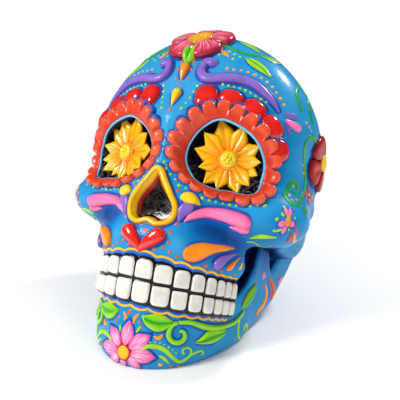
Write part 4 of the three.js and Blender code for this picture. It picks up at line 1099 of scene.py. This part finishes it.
def lobe(k, grow=0.0, height=8.0, flat_rim=0.0):
    """A rounded lobe outside the ring, from cusp to cusp over a crest, tucked under the ring's edge."""
    a, b, c = (head.at(*map(float, x)) for x in (LOBE_CUSPS[k], LOBE_CUSPS[k + 1], LOBE_CRESTS[k]))
    up = head.normal(head.at(*map(float, LOBE_CRESTS[k])))
    m = (a + b) / 2
    e = (b - a) / 2
    crest = c - m
    crest = crest - up * (crest @ up)
    x = unit(e - up * (e @ up))
    y = unit(crest - x * (crest @ x))
    w, tall = np.linalg.norm(e) + 1.4 + grow, crest @ y + 2 + grow
    t = np.linspace(0, 2 * math.pi, 40, endpoint=False)
    s = np.sin(t)
    rim_x = w * np.sign(np.cos(t)) * abs(np.cos(t)) ** 0.85
    rim_y = np.where(s > 0, tall * abs(s) ** 0.85, -LOBE_TUCK * abs(s) ** 0.6)
    return pillow(head.patch(m, x, y), np.stack([rim_x, rim_y], -1), height, rings=8, power=2.6,
                  middle=(0, 0.3 * tall), flat_rim=flat_rim)


pair("eye_lobes_raised", Clay(*map(lobe, range(len(LOBE_CRESTS)))), lobe_paint, "eye_lobes")

# ---------------------------------------------------------------- flowers in the eyes
FLOWER_AT, FLOWER_ROLL = (78, -126, -41), 8.7
PETALS = {  # turn in degrees and reach of each petal
    "l": [(101, 55), (131, 48), (160, 47), (193, 39), (223, 44), (250, 41), (286, 45), (308, 44), (330, 43),
          (353, 42), (22, 44), (64, 48)],
    "r": [(97, 54), (66, 52), (37, 47), (2, 43), (-26, 45), (-48, 46), (-72, 40), (-100, 44), (-128, 44),
          (202, 45), (168, 51), (138, 48)]}


def folded_petal(rows=12, cols=11):
    """A pointed petal of unit length with a raised fold on each side of its crease; heights in millimetres."""
    u = np.linspace(0.16, 1, rows)
    t = np.linspace(-1, 1, cols)
    half = np.where(u < 0.68, np.minimum(u * 0.42, 0.25), 0.25 * np.maximum(1 - u, 0) / 0.32) + 0.002
    uu = np.repeat(u[:, None], cols, 1)
    vv = half[:, None] * t
    fade = np.clip((1 - u) / 0.35, 0, 1)[:, None] ** 0.5 * np.clip(u / 0.3, 0, 1)[:, None]
    pleat = (4.4 * (1 - abs(t) ** 2.2) - 2.8 * np.exp(-(t / 0.24) ** 2)) * fade
    cup_rise = 15.0 * np.maximum(0, u - 0.3)[:, None] ** 2
    top = np.stack([uu, vv, pleat + cup_rise], -1)
    under = np.stack([uu, vv * 0.9, cup_rise - 3.4 * (1.15 - u[:, None]) - 0.5 + 0 * t], -1)
    loops = np.concatenate([top, under[:, ::-1]], 1)
    crease = np.maximum(np.exp(-(t / 0.2) ** 2), abs(t) ** 4)
    edge = np.concatenate([crease, np.ones(cols)])
    return (loops.reshape(-1, 3), loft(loops), np.tile(edge, rows),
            np.repeat(np.clip((u - 0.16) / 0.84, 0, 1), 2 * cols))


flower_lay = flat_lay(FLOWER_AT, EYE_FACING)
for side, petals in PETALS.items():
    rows = [(0, 0, 2.4 * (i % 2), math.radians(turn + FLOWER_ROLL), reach, reach, 1)
            for i, (turn, reach) in enumerate(petals)]
    eye_flower = copies(folded_petal(), rows, gold_paint, flower_lay)
    eye_flower.join(Clay(pillow(flower_lay, oval(16.5, 16.5, 36), 6.6, power=3.5, sink=2.5)))
    eye_flower = eye_flower if side == "l" else eye_flower.mirrored()
    piece(f"eye_flower_petals_{side}", eye_flower, gold_paint, [f"eye_flower_{side}"])
eye_disc = Clay(pillow(flower_lay, oval(13, 13, 32), 8.6, power=6, sink=2.5))
eye_disc.join(seed_head(11.2, 8.5, 2.5, 20, disc_paint, flower_lay))
pair("eye_flower_seed_disc", eye_disc, disc_paint, "eye_flower_disc")

# ---------------------------------------------------------------- teeth and gum lines
TOOTH_WIDTHS = [26, 26, 22.4, 19.6, 16, 12.5, 11, 9.5]
TOOTH_LINE = 1.6
BITE_HEIGHT, BITE_LINE, BITE_DROOP = -202, 2.8, 0.09
UPPER_TOP, UPPER_DROOP, LOWER_BOTTOM, LOWER_DROOP = -176, 0.12, -231, 0.02


def tooth_form(top_power, low_power):
    """A tooth of unit half width, half height and depth, squarer where a power is higher."""
    t = np.linspace(0, 2 * math.pi, 36, endpoint=False)
    c, s = np.cos(t), np.sin(t)
    power = np.where(s > 0, 2 / top_power, 2 / low_power)
    rim = np.stack([np.sign(c) * abs(c) ** power, np.sign(s) * abs(s) ** power], -1)
    return pillow(flat, rim, 1.0, rings=8, power=9, sink=0.2, middle=(0, 0))


def tooth_rows(upper, grow=0.0, depth=5.3):
    """Place and size of each tooth along the arch."""
    rows, s = [], 0.0
    for width in TOOTH_WIDTHS:
        mid = s + width / 2
        s += width
        line = TOOTH_LINE if width > 14 else 1.0
        bite = BITE_HEIGHT - BITE_DROOP * mid
        low, high = ((bite + BITE_LINE / 2, UPPER_TOP - UPPER_DROOP * mid) if upper
                     else (LOWER_BOTTOM - LOWER_DROOP * mid, bite - BITE_LINE / 2))
        size = ((width - line) / 2 + grow, (high - low) / 2 + grow, depth)
        rows += [(side * mid, (low + high) / 2, 0, 0, *size) for side in (1, -1)]
    return rows


def arch_lay(base):
    """The patch along the teeth, base out from their arch."""
    return lambda u, v, h: teeth.put(u, v, h + base)


for upper, name in ((True, "upper"), (False, "lower")):
    form = tooth_form(3.5, 10) if upper else tooth_form(10, 4)
    made = copies(form, tooth_rows(upper), ivory_paint, arch_lay(-5.5))
    piece(f"{name}_teeth_row", made, ivory_paint, [f"{name}_teeth"])
    pads = copies(form, tooth_rows(upper, 3.2, 3.6), gum_paint, arch_lay(-7.2))
    piece(f"{name}_gum_black", pads, gum_paint)


def gum_line(upper, lift, half, height, wave=3.2):
    """A line that rises over each tooth and dips between them."""
    bounds = np.concatenate([[0], np.cumsum(TOOTH_WIDTHS)])
    a = np.linspace(-bounds[-1], bounds[-1], 420)
    k = np.clip(np.searchsorted(bounds, abs(a), side="right") - 1, 0, len(TOOTH_WIDTHS) - 1)
    width = np.array(TOOTH_WIDTHS)[k]
    swell = abs(np.sin(math.pi * (abs(a) - bounds[k]) / width)) ** 0.8 - 0.7
    swell = wave * np.minimum(1, width / 16) * swell
    z = (UPPER_TOP - UPPER_DROOP * abs(a) + lift + swell if upper
         else LOWER_BOTTOM - LOWER_DROOP * abs(a) - lift - swell)
    z = np.convolve(np.pad(z, 2, mode="edge"), np.ones(5) / 5, "valid")
    skin = head if upper else jaw
    base = skin.settle(teeth.put(a, z, -7.0 + 0 * a))
    return ribbon(skin, base, np.full(len(a), half), height, flat=True, sides=7)


yellow_gum = Clay(gum_line(True, 7.6, 1.7, 1.2), gum_line(False, 7.2, 1.6, 1.2))
piece("gum_lines_yellow", yellow_gum, brush["yellow"])
blue_gum = Clay(gum_line(True, 4.6, 2.8, 0.8), gum_line(False, 4.4, 2.7, 0.8))
piece("gum_lines_royal", blue_gum, gum_blue_paint)

# ---------------------------------------------------------------- raised ornament
SCROLL = [(45.5, 66.8, 7.1), (40, 69.1, 6.6), (32, 70, 6.3), (27.6, 67.5, 6.3), (32.4, 64, 6.6),
          (41, 61.4, 6.8), (54, 58, 6.8), (63, 54, 6.6), (70, 48.7, 6.1), (74, 43, 5.2), (77, 37.6, 3.5),
          (79, 32, 0.8)]
CROWN_LEAF = [(0, 80, 5), (0, 76.6, 11.4), (0, 74.6, 9.6), (0, 71.9, 0.8)]
ORANGE_DROP = [(0, 72.8, 2), (0, 71.4, 6.8), (0, 68.8, 5.6), (0, 65.2, 0.5)]
YELLOW_DROP = [(0, 62.2, 2), (0, 59.8, 6.8), (0, 55.8, 5), (0, 49.2, 0.5)]
SWOOSH = [(33, -38.4, 0.6), (37.4, -35.4, 4.3), (45, -32, 6), (55, -28.5, 7.4), (62, -25.5, 8.5), (67, -24, 9),
          (69.5, -24.2, 7)]
SWOOSH_HOOK = [(69.3, -25, 7), (68.6, -27.6, 5.4), (66.2, -29.2, 3.2), (63.4, -30.5, 0.5)]
CHEEK_TIP = [(39.6, -27.4, 3), (35, -29.6, 8), (31, -33.4, 7.8), (28, -39.4, 0.8)]
SEED = [(26.4, -24.6, 1.6), (30.2, -23.8, 6.4), (35, -23.6, 7.8), (40, -24.6, 5.4), (44.4, -26.6, 0.6)]
HEART_LOBE = [(18.6, -42.8, 8.2), (14.8, -44.4, 9.4), (9, -46.7, 8.8), (4, -48.9, 6.6), (-1.8, -51.6, 1.2)]
LIP_DROPS = {
    "orange": [(35, -48.6, 3), (38, -48.2, 8.5), (43.5, -47, 10.9), (49.5, -45, 9.8), (56.5, -43, 6.1),
               (64.4, -41, 3.7), (70.7, -39.2, 0.6)],
    "purple": [(59, -49.8, 2.5), (60.4, -48.6, 5.5), (62.3, -46.6, 6.4), (65.7, -44.5, 4.7), (69.5, -42.6, 2.7),
               (73.5, -41, 0.6)],
    "small": [(68.8, -48.6, 1.5), (69.6, -47.6, 3.6), (71, -46.2, 3.8), (73, -44.4, 2.2), (76.5, -41.6, 0.5)]}
VINE_STEM = [(62, -247.6, 2.4), (77, -246, 3), (97, -250, 4), (112, -251, 3.7), (130, -249, 3.3),
             (148, -244, 3.1), (161, -235, 2.6), (166, -229.5, 1.8)]
VINE_CURL = [(63, -247.6, 2.4), (55.6, -251, 3.1), (52.8, -258, 3.2), (53.2, -265, 3.3), (58.3, -270.5, 3.3),
             (65.5, -271.5, 3.2), (71.5, -268, 3), (73, -262, 2.8), (69.6, -257.6, 2.5), (65, -258, 2.2)]
JAW_LEAVES = {
    "inner": [(17, -245.8, 0.8), (27, -249.6, 8), (38, -251, 10.6), (47, -249.6, 8), (56, -247.6, 1.4)],
    "outer": [(161, -228, 1.3), (166.5, -220.5, 5), (176, -212, 7.2), (186, -202.5, 5.2), (193, -193.5, 0.5)],
    "low": [(133, -254, 1.3), (122, -258.3, 7), (108, -262.5, 8.8), (97, -267.2, 4.6), (87, -270.6, 0.5)]}
OUTLINE_WIDTH, JAW_OUTLINE, OUTLINE_RISE = 3.2, 2.4, 0.45
outlines = Clay()


def relief(node, skin, height, material, slot, *lines, twin=True, outline=OUTLINE_WIDTH, crease=0.0):
    """Raised strokes in place of a solid, or of one on each side, with a royal blue line round them."""
    clay = Clay(*[stroke(skin, knots, height, steps=12 * len(knots), crease=crease) for knots in lines])
    around = Clay(*[stroke(skin, knots, OUTLINE_RISE, outline, True) for knots in lines])
    set_down(f"{node}_raised", clay, material, slot, node, twin)
    outlines.join(around.both() if twin else around)


relief("brow_scroll", head, 7, purple_paint, "purple", SCROLL)
relief("forehead_drop_orange", head, 6, orange_paint, "orange", ORANGE_DROP, twin=False)
relief("forehead_drop_yellow", head, 6, yellow_paint, "yellow", YELLOW_DROP, twin=False)
relief("cheek_seed", head, 6, yellow_paint, "yellow", SEED, outline=2.0)
relief("cheek_swoosh", head, 8, pink_paint, "pink", SWOOSH, SWOOSH_HOOK)
relief("cheek_tip", head, 5, purple_paint, "purple", CHEEK_TIP)
for name, knots in LIP_DROPS.items():
    paint, slot = (purple_paint, "purple") if name == "purple" else (orange_paint, "orange")
    relief(f"lip_drop_{name}", head, 6, paint, slot, knots)
heart = Clay(stroke(head, HEART_LOBE, 9, steps=60)).both()
piece("lip_heart_raised", heart, heart_paint, ["lip_heart"])
outlines.join(Clay(stroke(head, HEART_LOBE, OUTLINE_RISE, 3.4, True)).both())
relief("crown_leaf", head, 10.5, lime_leaf_paint, "lime", CROWN_LEAF, twin=False, crease=0.45)
relief("jaw_vine", jaw, 5, vine_paint, "green", VINE_STEM, VINE_CURL, outline=JAW_OUTLINE)
for name, knots in JAW_LEAVES.items():
    relief(f"jaw_leaf_{name}", jaw, 4.5, lime_leaf_paint, "lime", knots, outline=JAW_OUTLINE, crease=0.5)
outlines.join(Clay(ring_wall(2.4, ring_line())).both())
outlines.join(Clay(*[lobe(k, 2.4, 0.6, 0.5) for k in range(len(LOBE_CRESTS))]).both())
outlines.join(Clay(opening_lip(nose_line, NOSE_MIDDLE, 4.4, 5.4, 0.5)))


# ---------------------------------------------------------------- round-petalled flowers
def round_flower(at, reach, height, disc_radius, petals, disc, twin, level=0.0):
    """Five round petals about a seed disc, each given as name, paint, slot and node; level says how far the
    flower lies flat instead of down the head. The slot is not used."""
    skin = head.lay(at)
    centre, one, other = (skin(*np.array([u, v, 0.0])[:, None])[0] for u, v in ((0, 0), (1, 0), (0, 1)))
    plain = np.stack([one - centre, other - centre, head.normal(centre[None])[0]])

    def lay(u, v, h):
        return skin(u, v, h) * (1 - level) + level * (centre + flat(u, v, h) @ plain)

    def lifted(u, v, h):
        return lay(u, v, h + height * 0.7)
    form = pillow(flat, petal_rim(0.16, 0.46, 1.5, 0.5), 1.0, rings=9, power=5, sink=0.2 + 0.6 * (level > 0),
                  fold=lambda share, uv: -0.14 * np.exp(-(uv[:, 1] / 0.1) ** 2) * (1 - share ** 2))
    rows = [(0, 0, 0, math.radians(18 + 72 * i), reach, reach, height) for i in range(5)]
    flower = copies(form, rows, petals[1], lay)
    flower.join(Clay(pillow(lay, oval(disc_radius * 1.2, disc_radius * 1.2, 28), height * 0.8, power=5)))
    seeds = Clay(pillow(lifted, oval(disc_radius, disc_radius, 32), 2.4, power=5, sink=2))
    seeds.join(seed_head(disc_radius * 0.9, 1.7, 1.5, 54, disc[1], lifted))
    rim = pillow(flat, petal_rim(0.1, 0.5, 1.55, 0.55), 1.0, rings=3, flat_rim=0.6)
    around = copies(rim, [(*row[:4], reach + 3, reach + 3, OUTLINE_RISE) for row in rows], royal_paint, skin)
    for (name, *rest), clay in ((petals, flower), (disc, seeds)):
        set_down(name, clay, *rest, twin)
    outlines.join(around.both() if twin else around)


round_flower(CROWN_PLACE, 50, 7, 19.5, ("crown_flower_petals", crimson_paint, "crimson", "crown_flower"),
             ("crown_seed_disc", crown_disc_paint, "gold", "crown_disc"), False, 0.4)
round_flower((112, 13), 42, 6, 12, ("side_flower_petals", side_petal_paint, "red", "side_flower"),
             ("side_flower_seed_disc", disc_paint, "yellow", "side_flower_disc"), True)
piece("royal_blue_outlines", outlines, royal_paint)

# ---------------------------------------------------------------- brush strokes and dots
PAINT_RISE = 0.9
strokes = {colour: Clay() for colour in brush}
flower_round = Clay()


def brushed(skin, colour, *lines, twin=True):
    """Flat brush strokes; knots are a place and a half width."""
    for knots in lines:
        clay = Clay(stroke(skin, knots, PAINT_RISE, 0, True))
        strokes[colour].join(clay.both() if twin else clay)


def painted_leaf(skin, *leaves):
    """Lime leaves with a green middle line and a blue line round them, on both sides."""
    for knots in leaves:
        brushed(skin, "lime", knots)
        flower_round.join(Clay(stroke(skin, knots, OUTLINE_RISE, 1.7, True)).both())
        vein = [(*knot[:2], 0.9 if 0 < i < len(knots) - 1 else 0.4) for i, knot in enumerate(knots)]
        strokes["green"].join(Clay(stroke(skin, vein, PAINT_RISE + 0.4, 0, True)).both())


def dotted(skin, colour, radius, *rows, twin=True):
    """Rows of brush dots; each row is a count and its path."""
    for count, knots in rows:
        clay = dot_row(skin, knots, count, radius, brush[colour])
        strokes[colour].join(clay.both() if twin else clay)


brushed(head, "green",
        [(47, 81, 2.6), (62, 74.8, 2.6), (70.4, 67.9, 2.6), (77.5, 63.6, 2.5), (83.4, 60.8, 1.6)],
        [(98, 46, 1.6), (93.4, 42.5, 2.6), (90, 40, 2.7), (88.8, 35.8, 2.6), (89.1, 31.4, 1.8)],
        [(102.2, 41, 1.6), (98.8, 37.2, 2.9), (96.6, 34, 3), (94.9, 28.8, 3.1), (95.6, 26.6, 1.3)],
        [(104, 19.4, 2.1), (100.8, 20.9, 2.9), (97.4, 21.8, 3), (93.6, 21.2, 3), (92.1, 18.6, 3),
         (93.5, 15.4, 3), (97.2, 10.2, 2.9), (98.9, 4.6, 2.9), (97.3, -0.9, 2.7), (91.6, -6.1, 2.7),
         (86.4, -8.7, 2.7), (83, -8.4, 2.7), (82.3, -6, 2.7), (84.4, -3.4, 2.9), (86.7, 0.3, 2.9),
         (89.2, 1.6, 2.9), (91.4, 0.4, 2.9), (91, -2.2, 2.6), (88.8, -3.6, 2.3), (87.1, -2.2, 1.6)],
        [(87.2, -10.3, 1.3), (92.8, -9, 2), (93.7, -9.9, 2), (88.6, -11, 1.8), (88.4, -12.2, 1.3)])
painted_leaf(head, [(85, 75, 0.6), (87.2, 69.5, 6.2), (85.2, 61.9, 0.6)],
             [(84.2, 61.4, 0.6), (89.2, 58, 6.2), (95.6, 55, 0.6)],
             [(70.8, 63.7, 0.6), (73.8, 60.2, 6.5), (77, 55.4, 6.8), (79.6, 49, 0.6)],
             [(44, 83.4, 1), (55.5, 78.7, 6.8), (61, 74.2, 0.6)])
brushed(head, "lime", [(73.1, -30.5, 0.6), (75.5, -26.6, 3.8), (79.7, -23.6, 0.6)],
        [(74, -33.1, 0.6), (76.6, -31.3, 0.8), (80.5, -32, 0.8), (84.3, -31, 0.8), (84.5, -29.1, 0.6)])
brushed(head, "orange", [(53, 73.8, 0.8), (56.1, 70.8, 3.2), (58.7, 68, 0.8)],
        [(83.7, -18.9, 0.7), (86.3, -21.2, 2.4), (90.5, -23.2, 3)])
brushed(head, "scarlet", [(82.8, -19.4, 0.7), (84.5, -22.2, 2.4), (86, -24.1, 2.8)])
brushed(head, "magenta", [(82.3, -16.2, 0.7), (83.8, -18, 1.8), (86.4, -20, 1.8)])
brushed(head, "purple", [(80.6, 32, 0.8), (82.8, 30.4, 4), (85.2, 29.6, 4.6), (86.2, 29.4, 3.4)],
        [(80.8, 28.4, 0.8), (81.6, 25, 2.9), (82.2, 22, 2.6)])
brushed(head, "pink", [(80.9, 28.9, 0.8), (83.4, 26.8, 4.2), (86.2, 24.6, 5.6), (87.4, 23.8, 4.2)])
brushed(head, "yellow", [(78.5, -43.2, 0.6), (78.3, -46.4, 2.2)])
dotted(head, "orange", 2.3, (11, [(54.7, 62.9), (67.8, 56.5), (76.6, 48.1), (79.2, 42.3), (81.3, 35.7)]))
dotted(head, "orange", 1.9, (1, [(88.5, -0.5)]), (1, [(85, -5.1)]), (1, [(84.9, -7.1)]), (1, [(88.4, -6.3)]),
       (2, [(96.1, 10.6), (97.4, 7)]), (3, [(90.5, 27), (92, 25.4), (94, 24)]))
dotted(head, "red", 2.2, (3, [(11.5, 73.3), (12.2, 69.9), (9.6, 66.1)]),
       (3, [(27, -39.9), (23.2, -43), (23.6, -46.1)]), (3, [(19.5, -48.3), (24.7, -49.2), (31.4, -50.1)]),
       (1, [(12.4, -49.7)]), (3, [(53.4, -49.7), (67.7, -49.8), (77.7, -49.4)]), (1, [(23.4, -20)]))
dotted(head, "red", 2.2, (1, [(-3, 64.1)]), (1, [(0, 46.4)]), (1, [(1, -43.6)]), twin=False)
dotted(head, "lime", 2.1, (5, [(25.5, 61.5), (21.5, 58), (17, 53.5), (12.7, 48.1)]),
       (9, [(50.7, 56.3), (63.2, 49.6), (74, 39)]),
       (10, [(44.8, -21.1), (55.2, -20.6), (62.3, -18.7), (67.5, -15.8), (72.5, -12.8)]),
       (3, [(61.5, 70.7), (64.3, 68.3), (67.7, 65.3)]), (2, [(49, 71.8), (61.5, 66)]),
       (6, [(4.1, 4.5), (9.5, -5), (16.6, -9.5), (24.5, -16.5), (30.3, -17.4)]),
       (2, [(75.6, -16.5), (76.6, -21.5)]))

brushed(jaw, "pink", [(211.4, -178, 3.6), (213, -189, 4.6)], [(270, -183, 3.2), (262, -197, 5)])
brushed(jaw, "orange", [(219, -194, 1.6), (229, -211, 3.6), (223, -226.6, 4.2), (206.5, -238, 2.6)],
        [(46.3, -264.3, 1), (41.5, -269, 2.6), (35.5, -267.5, 1)])
brushed(jaw, "red", [(228, -185, 1.4), (250, -203, 5), (246, -221, 3.4)])
brushed(jaw, "purple", [(226, -191, 1.2), (240, -207, 2.8), (228.5, -225, 1.4)])
brushed(jaw, "orange", [(-9, -246, 1), (-4.6, -251, 2.4), (-6, -257, 0.8)],
        [(13.4, -244.5, 1), (8.8, -250.4, 2.4), (7.4, -257.7, 0.8)], twin=False)
brushed(jaw, "lime", [(-11, -262, 0.8), (-10.2, -267, 1.6), (-9.5, -271.4, 0.6)],
        [(18, -258, 0.8), (15.6, -263, 1.6), (13.4, -267.5, 0.6)], twin=False)
brushed(jaw, "lime",
        [(21.5, -286.4, 1), (30.6, -280.7, 2.6), (40.3, -279.4, 3), (50.4, -281.5, 3), (59.6, -287.7, 2.6),
         (71.4, -294.5, 2), (78.5, -291.5, 1.8), (85, -285.1, 1.6), (92.5, -281.3, 1.5), (99, -280, 1.4),
         (102, -283, 1.3), (99, -285.4, 1.1)],
        [(83, -287.6, 1.2), (84.5, -280.5, 1.3), (79.6, -276.6, 1.4), (74, -278.3, 1.4), (73.6, -283, 1.3),
         (77, -284.4, 1.1)],
        [(45.4, -289.5, 0.8), (52, -292.2, 2.2), (59.1, -298, 0.8)],
        [(158, -241, 2), (159.5, -257, 2), (166, -267, 1.9), (176, -267.5, 1.8), (184, -260, 1.8),
         (184.5, -252.5, 2), (178.5, -249.5, 2.4), (174.6, -254, 2.6), (177, -257.6, 2.2)])
brushed(jaw, "yellow", [(45.6, -300, 2), (51.4, -300.6, 2)])
dotted(jaw, "red", 1.9, (2, [(15.4, -254.4), (19.1, -260.8)]),
       (10, [(62.5, -301), (85.9, -300), (107.5, -293.5), (127, -287.8), (148.7, -280.8)]))
dotted(jaw, "red", 2.8, (1, [(0, -244.8)]), twin=False)
dotted(jaw, "lime", 1.2, (7, [(32.5, -275.5), (41.7, -273.8), (48.2, -275.3), (56, -278.4), (65.5, -284)]))

# ---------------------------------------------------------------- painted flowers
CHIN_PETALS = [  # turn in degrees, reach and breadth of each petal
    (137, 40, 40), (87, 41, 41), (41, 43, 43), (2, 43, 43), (181, 43, 43), (-32, 30, 30), (-146, 30, 30),
    (-92, 22, 22)]
CHEEK_PETALS = [(197, 20.8, 9.5), (172, 20, 9.5), (305, 14.6, 14), (65, 11.4, 13), (351, 21.4, 10)]
EAR_PETALS = [(84, 18, 18), (36, 14, 14), (-10, 12, 12), (-96, 18, 18), (190, 14, 14)]


def painted_flower(lay, petals, start, width, material, belly=1.05, blunt=0.9):
    """Flat petals, and the same a little larger as the line round them."""
    form = pillow(flat, petal_rim(start, width, belly, blunt), 1.0, rings=5, power=9, sink=0.8)
    rows = [(0, 0, 0, math.radians(turn), reach, span, PAINT_RISE) for turn, reach, span in petals]
    around = [(*row[:4], row[4] + 3, row[5] + 4.5, OUTLINE_RISE) for row in rows]
    return copies(form, rows, material, lay), copies(form, around, royal_paint, lay)


chin_lay = jaw.lay(CHIN_PLACE)
chin, chin_round = painted_flower(chin_lay, CHIN_PETALS, 0.12, 0.235, chin_petal_paint)
piece("chin_flower_petals", chin, chin_petal_paint)
strokes["scarlet"].add(*pillow(chin_lay, oval(11.6, 11.6, 32), 1.5, power=9))
strokes["yellow"].add(*pillow(chin_lay, oval(9.4, 9.4, 32), 2.2, power=6))
flower_round.join(chin_round)
for at, petals, width, colour, disc, disc_colour in (
        ((79.4, -15.7), CHEEK_PETALS, 0.34, "pink", oval(7.4, 3.5, 18), "orange"),
        ((102.6, -2.2), EAR_PETALS, 0.26, "scarlet", oval(2.4, 2.4, 14), "yellow")):
    lay = head.lay(at)
    flower, around = painted_flower(lay, petals, 0.1, width, brush[colour], 1.3, 0.8)
    strokes[colour].join(flower.both())
    strokes[disc_colour].join(Clay(pillow(lay, disc, 1.6, power=6)).both())
    flower_round.join(around.both())
piece("flower_outlines", flower_round, royal_paint)
brushed(head, "lime", [(76.9, -13.6, 0.8), (77.4, -14, 2), (77.9, -14.5, 0.8)],
        [(78.6, -10.4, 0.6), (78.8, -11.2, 1.5), (79, -12.2, 0.6)], [(81.8, -13.4, 1), (82.1, -14.2, 1.2)],
        [(77.1, -21.5, 0.6), (77.8, -20.4, 1.9), (78.5, -19.3, 0.8)], [(80.6, -18, 0.8), (80.9, -19.2, 1.4)])
for colour, clay in strokes.items():
    piece(f"brush_marks_{colour}", clay, brush[colour])

# ---------------------------------------------------------------- solids that stay as they are
for name, material in (("neck_foot", blue_paint), ("seam_strip", resin_paint),
                       ("eye_flower_stem_l", lining_paint), ("eye_flower_stem_r", lining_paint)):
    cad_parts[name].data.materials.clear()
    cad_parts[name].data.materials.append(material)

# ---------------------------------------------------------------- camera
FOCUS_PIXELS, FRAME_PIXELS, SENSOR = 500, 400, 36
CAMERA_AT = np.array([339.0, -700, -131])
YAW, PITCH, ROLL = (math.radians(x) for x in (27.1, -3.2, 8.7))
away = np.array([math.sin(YAW) * math.cos(PITCH), -math.cos(YAW) * math.cos(PITCH), math.sin(PITCH)])
right = unit(np.cross([0, 0, 1], away))
above = np.cross(away, right)
axes = np.stack([math.cos(ROLL) * right + math.sin(ROLL) * above,
                 math.cos(ROLL) * above - math.sin(ROLL) * right, away]) @ LEAN.T
camera = new_object("camera", bpy.data.cameras.new("camera"))
stand = np.eye(4)
stand[:3, :3] = axes.T
stand[:3, 3] = to_row(CAMERA_AT)
camera.matrix_world = Matrix(stand.tolist())
camera.data.sensor_width = SENSOR
camera.data.lens = FOCUS_PIXELS / FRAME_PIXELS * SENSOR
camera.data.clip_start = 0.01
bpy.context.scene.camera = camera


# ---------------------------------------------------------------- floor, room and lamps
FLOOR_HALF, FLOOR_Z = 6, -0.0004


def studio():
    """A pale floor that fades to white, an even sky that is dimmer in reflections, and three lamps."""
    corners = [(x * FLOOR_HALF, y * FLOOR_HALF, FLOOR_Z) for x, y in ((-1, -1), (1, -1), (1, 1), (-1, 1))]
    floor = new_object("floor", bare_mesh("floor", corners, (), [(0, 1, 2, 3)]))
    material, w = new_material("pale_floor")
    reach = w.vector("LENGTH", w.node("ShaderNodeTexCoord", output="Object"), output="Value")
    far = ((reach - 0.3) / 0.5).held() * (w.ray("Camera") + w.ray("Transmission")).held()
    matt = w.node("ShaderNodeBsdfDiffuse", None, {"Color": (0.9, 0.9, 0.9, 1)})
    white = w.node("ShaderNodeEmission", None, {"Color": (1, 1, 1, 1), "Strength": 1.0})
    both = w.node("ShaderNodeMixShader", None, {0: far, 1: matt, 2: white})
    w.node("ShaderNodeOutputMaterial", None, {"Surface": both})
    floor.data.materials.append(material)

    world = bpy.data.worlds.new("studio")
    bpy.context.scene.world = world
    world.use_nodes = True
    world.node_tree.nodes.clear()
    w = Wire(world.node_tree)
    shown = (w.ray("Camera") + w.ray("Transmission")).held()
    level = 0.45 + 0.55 * shown - 0.38 * w.ray("Glossy")
    sky = w.node("ShaderNodeBackground", None, {"Color": (1, 1, 1, 1), "Strength": level})
    w.node("ShaderNodeOutputWorld", None, {"Surface": sky})

    for name, place, aim, size, power, mirror in (
            ("key_softbox", (-0.8, -1.1, 1.05), (0, -0.05, 0.22), 0.6, 24, True),
            ("fill_softbox", (1.35, -0.75, 0.75), (0, 0, 0.2), 0.5, 4, False),
            ("top_softbox", (0.64, 0.74, 1.36), (0.1, 0, 0.3), 0.26, 16, True)):
        lamp = new_object(name, bpy.data.lights.new(name, "AREA"))
        lamp.data.shape, lamp.data.size, lamp.data.energy = "DISK", size, power
        lamp.location = place
        lamp.visible_glossy = mirror
        lamp.rotation_mode = "QUATERNION"
        lamp.rotation_quaternion = (Vector(aim) - Vector(place)).to_track_quat("-Z", "Y")


studio()
bpy.context.scene.view_settings.view_transform = "Standard"
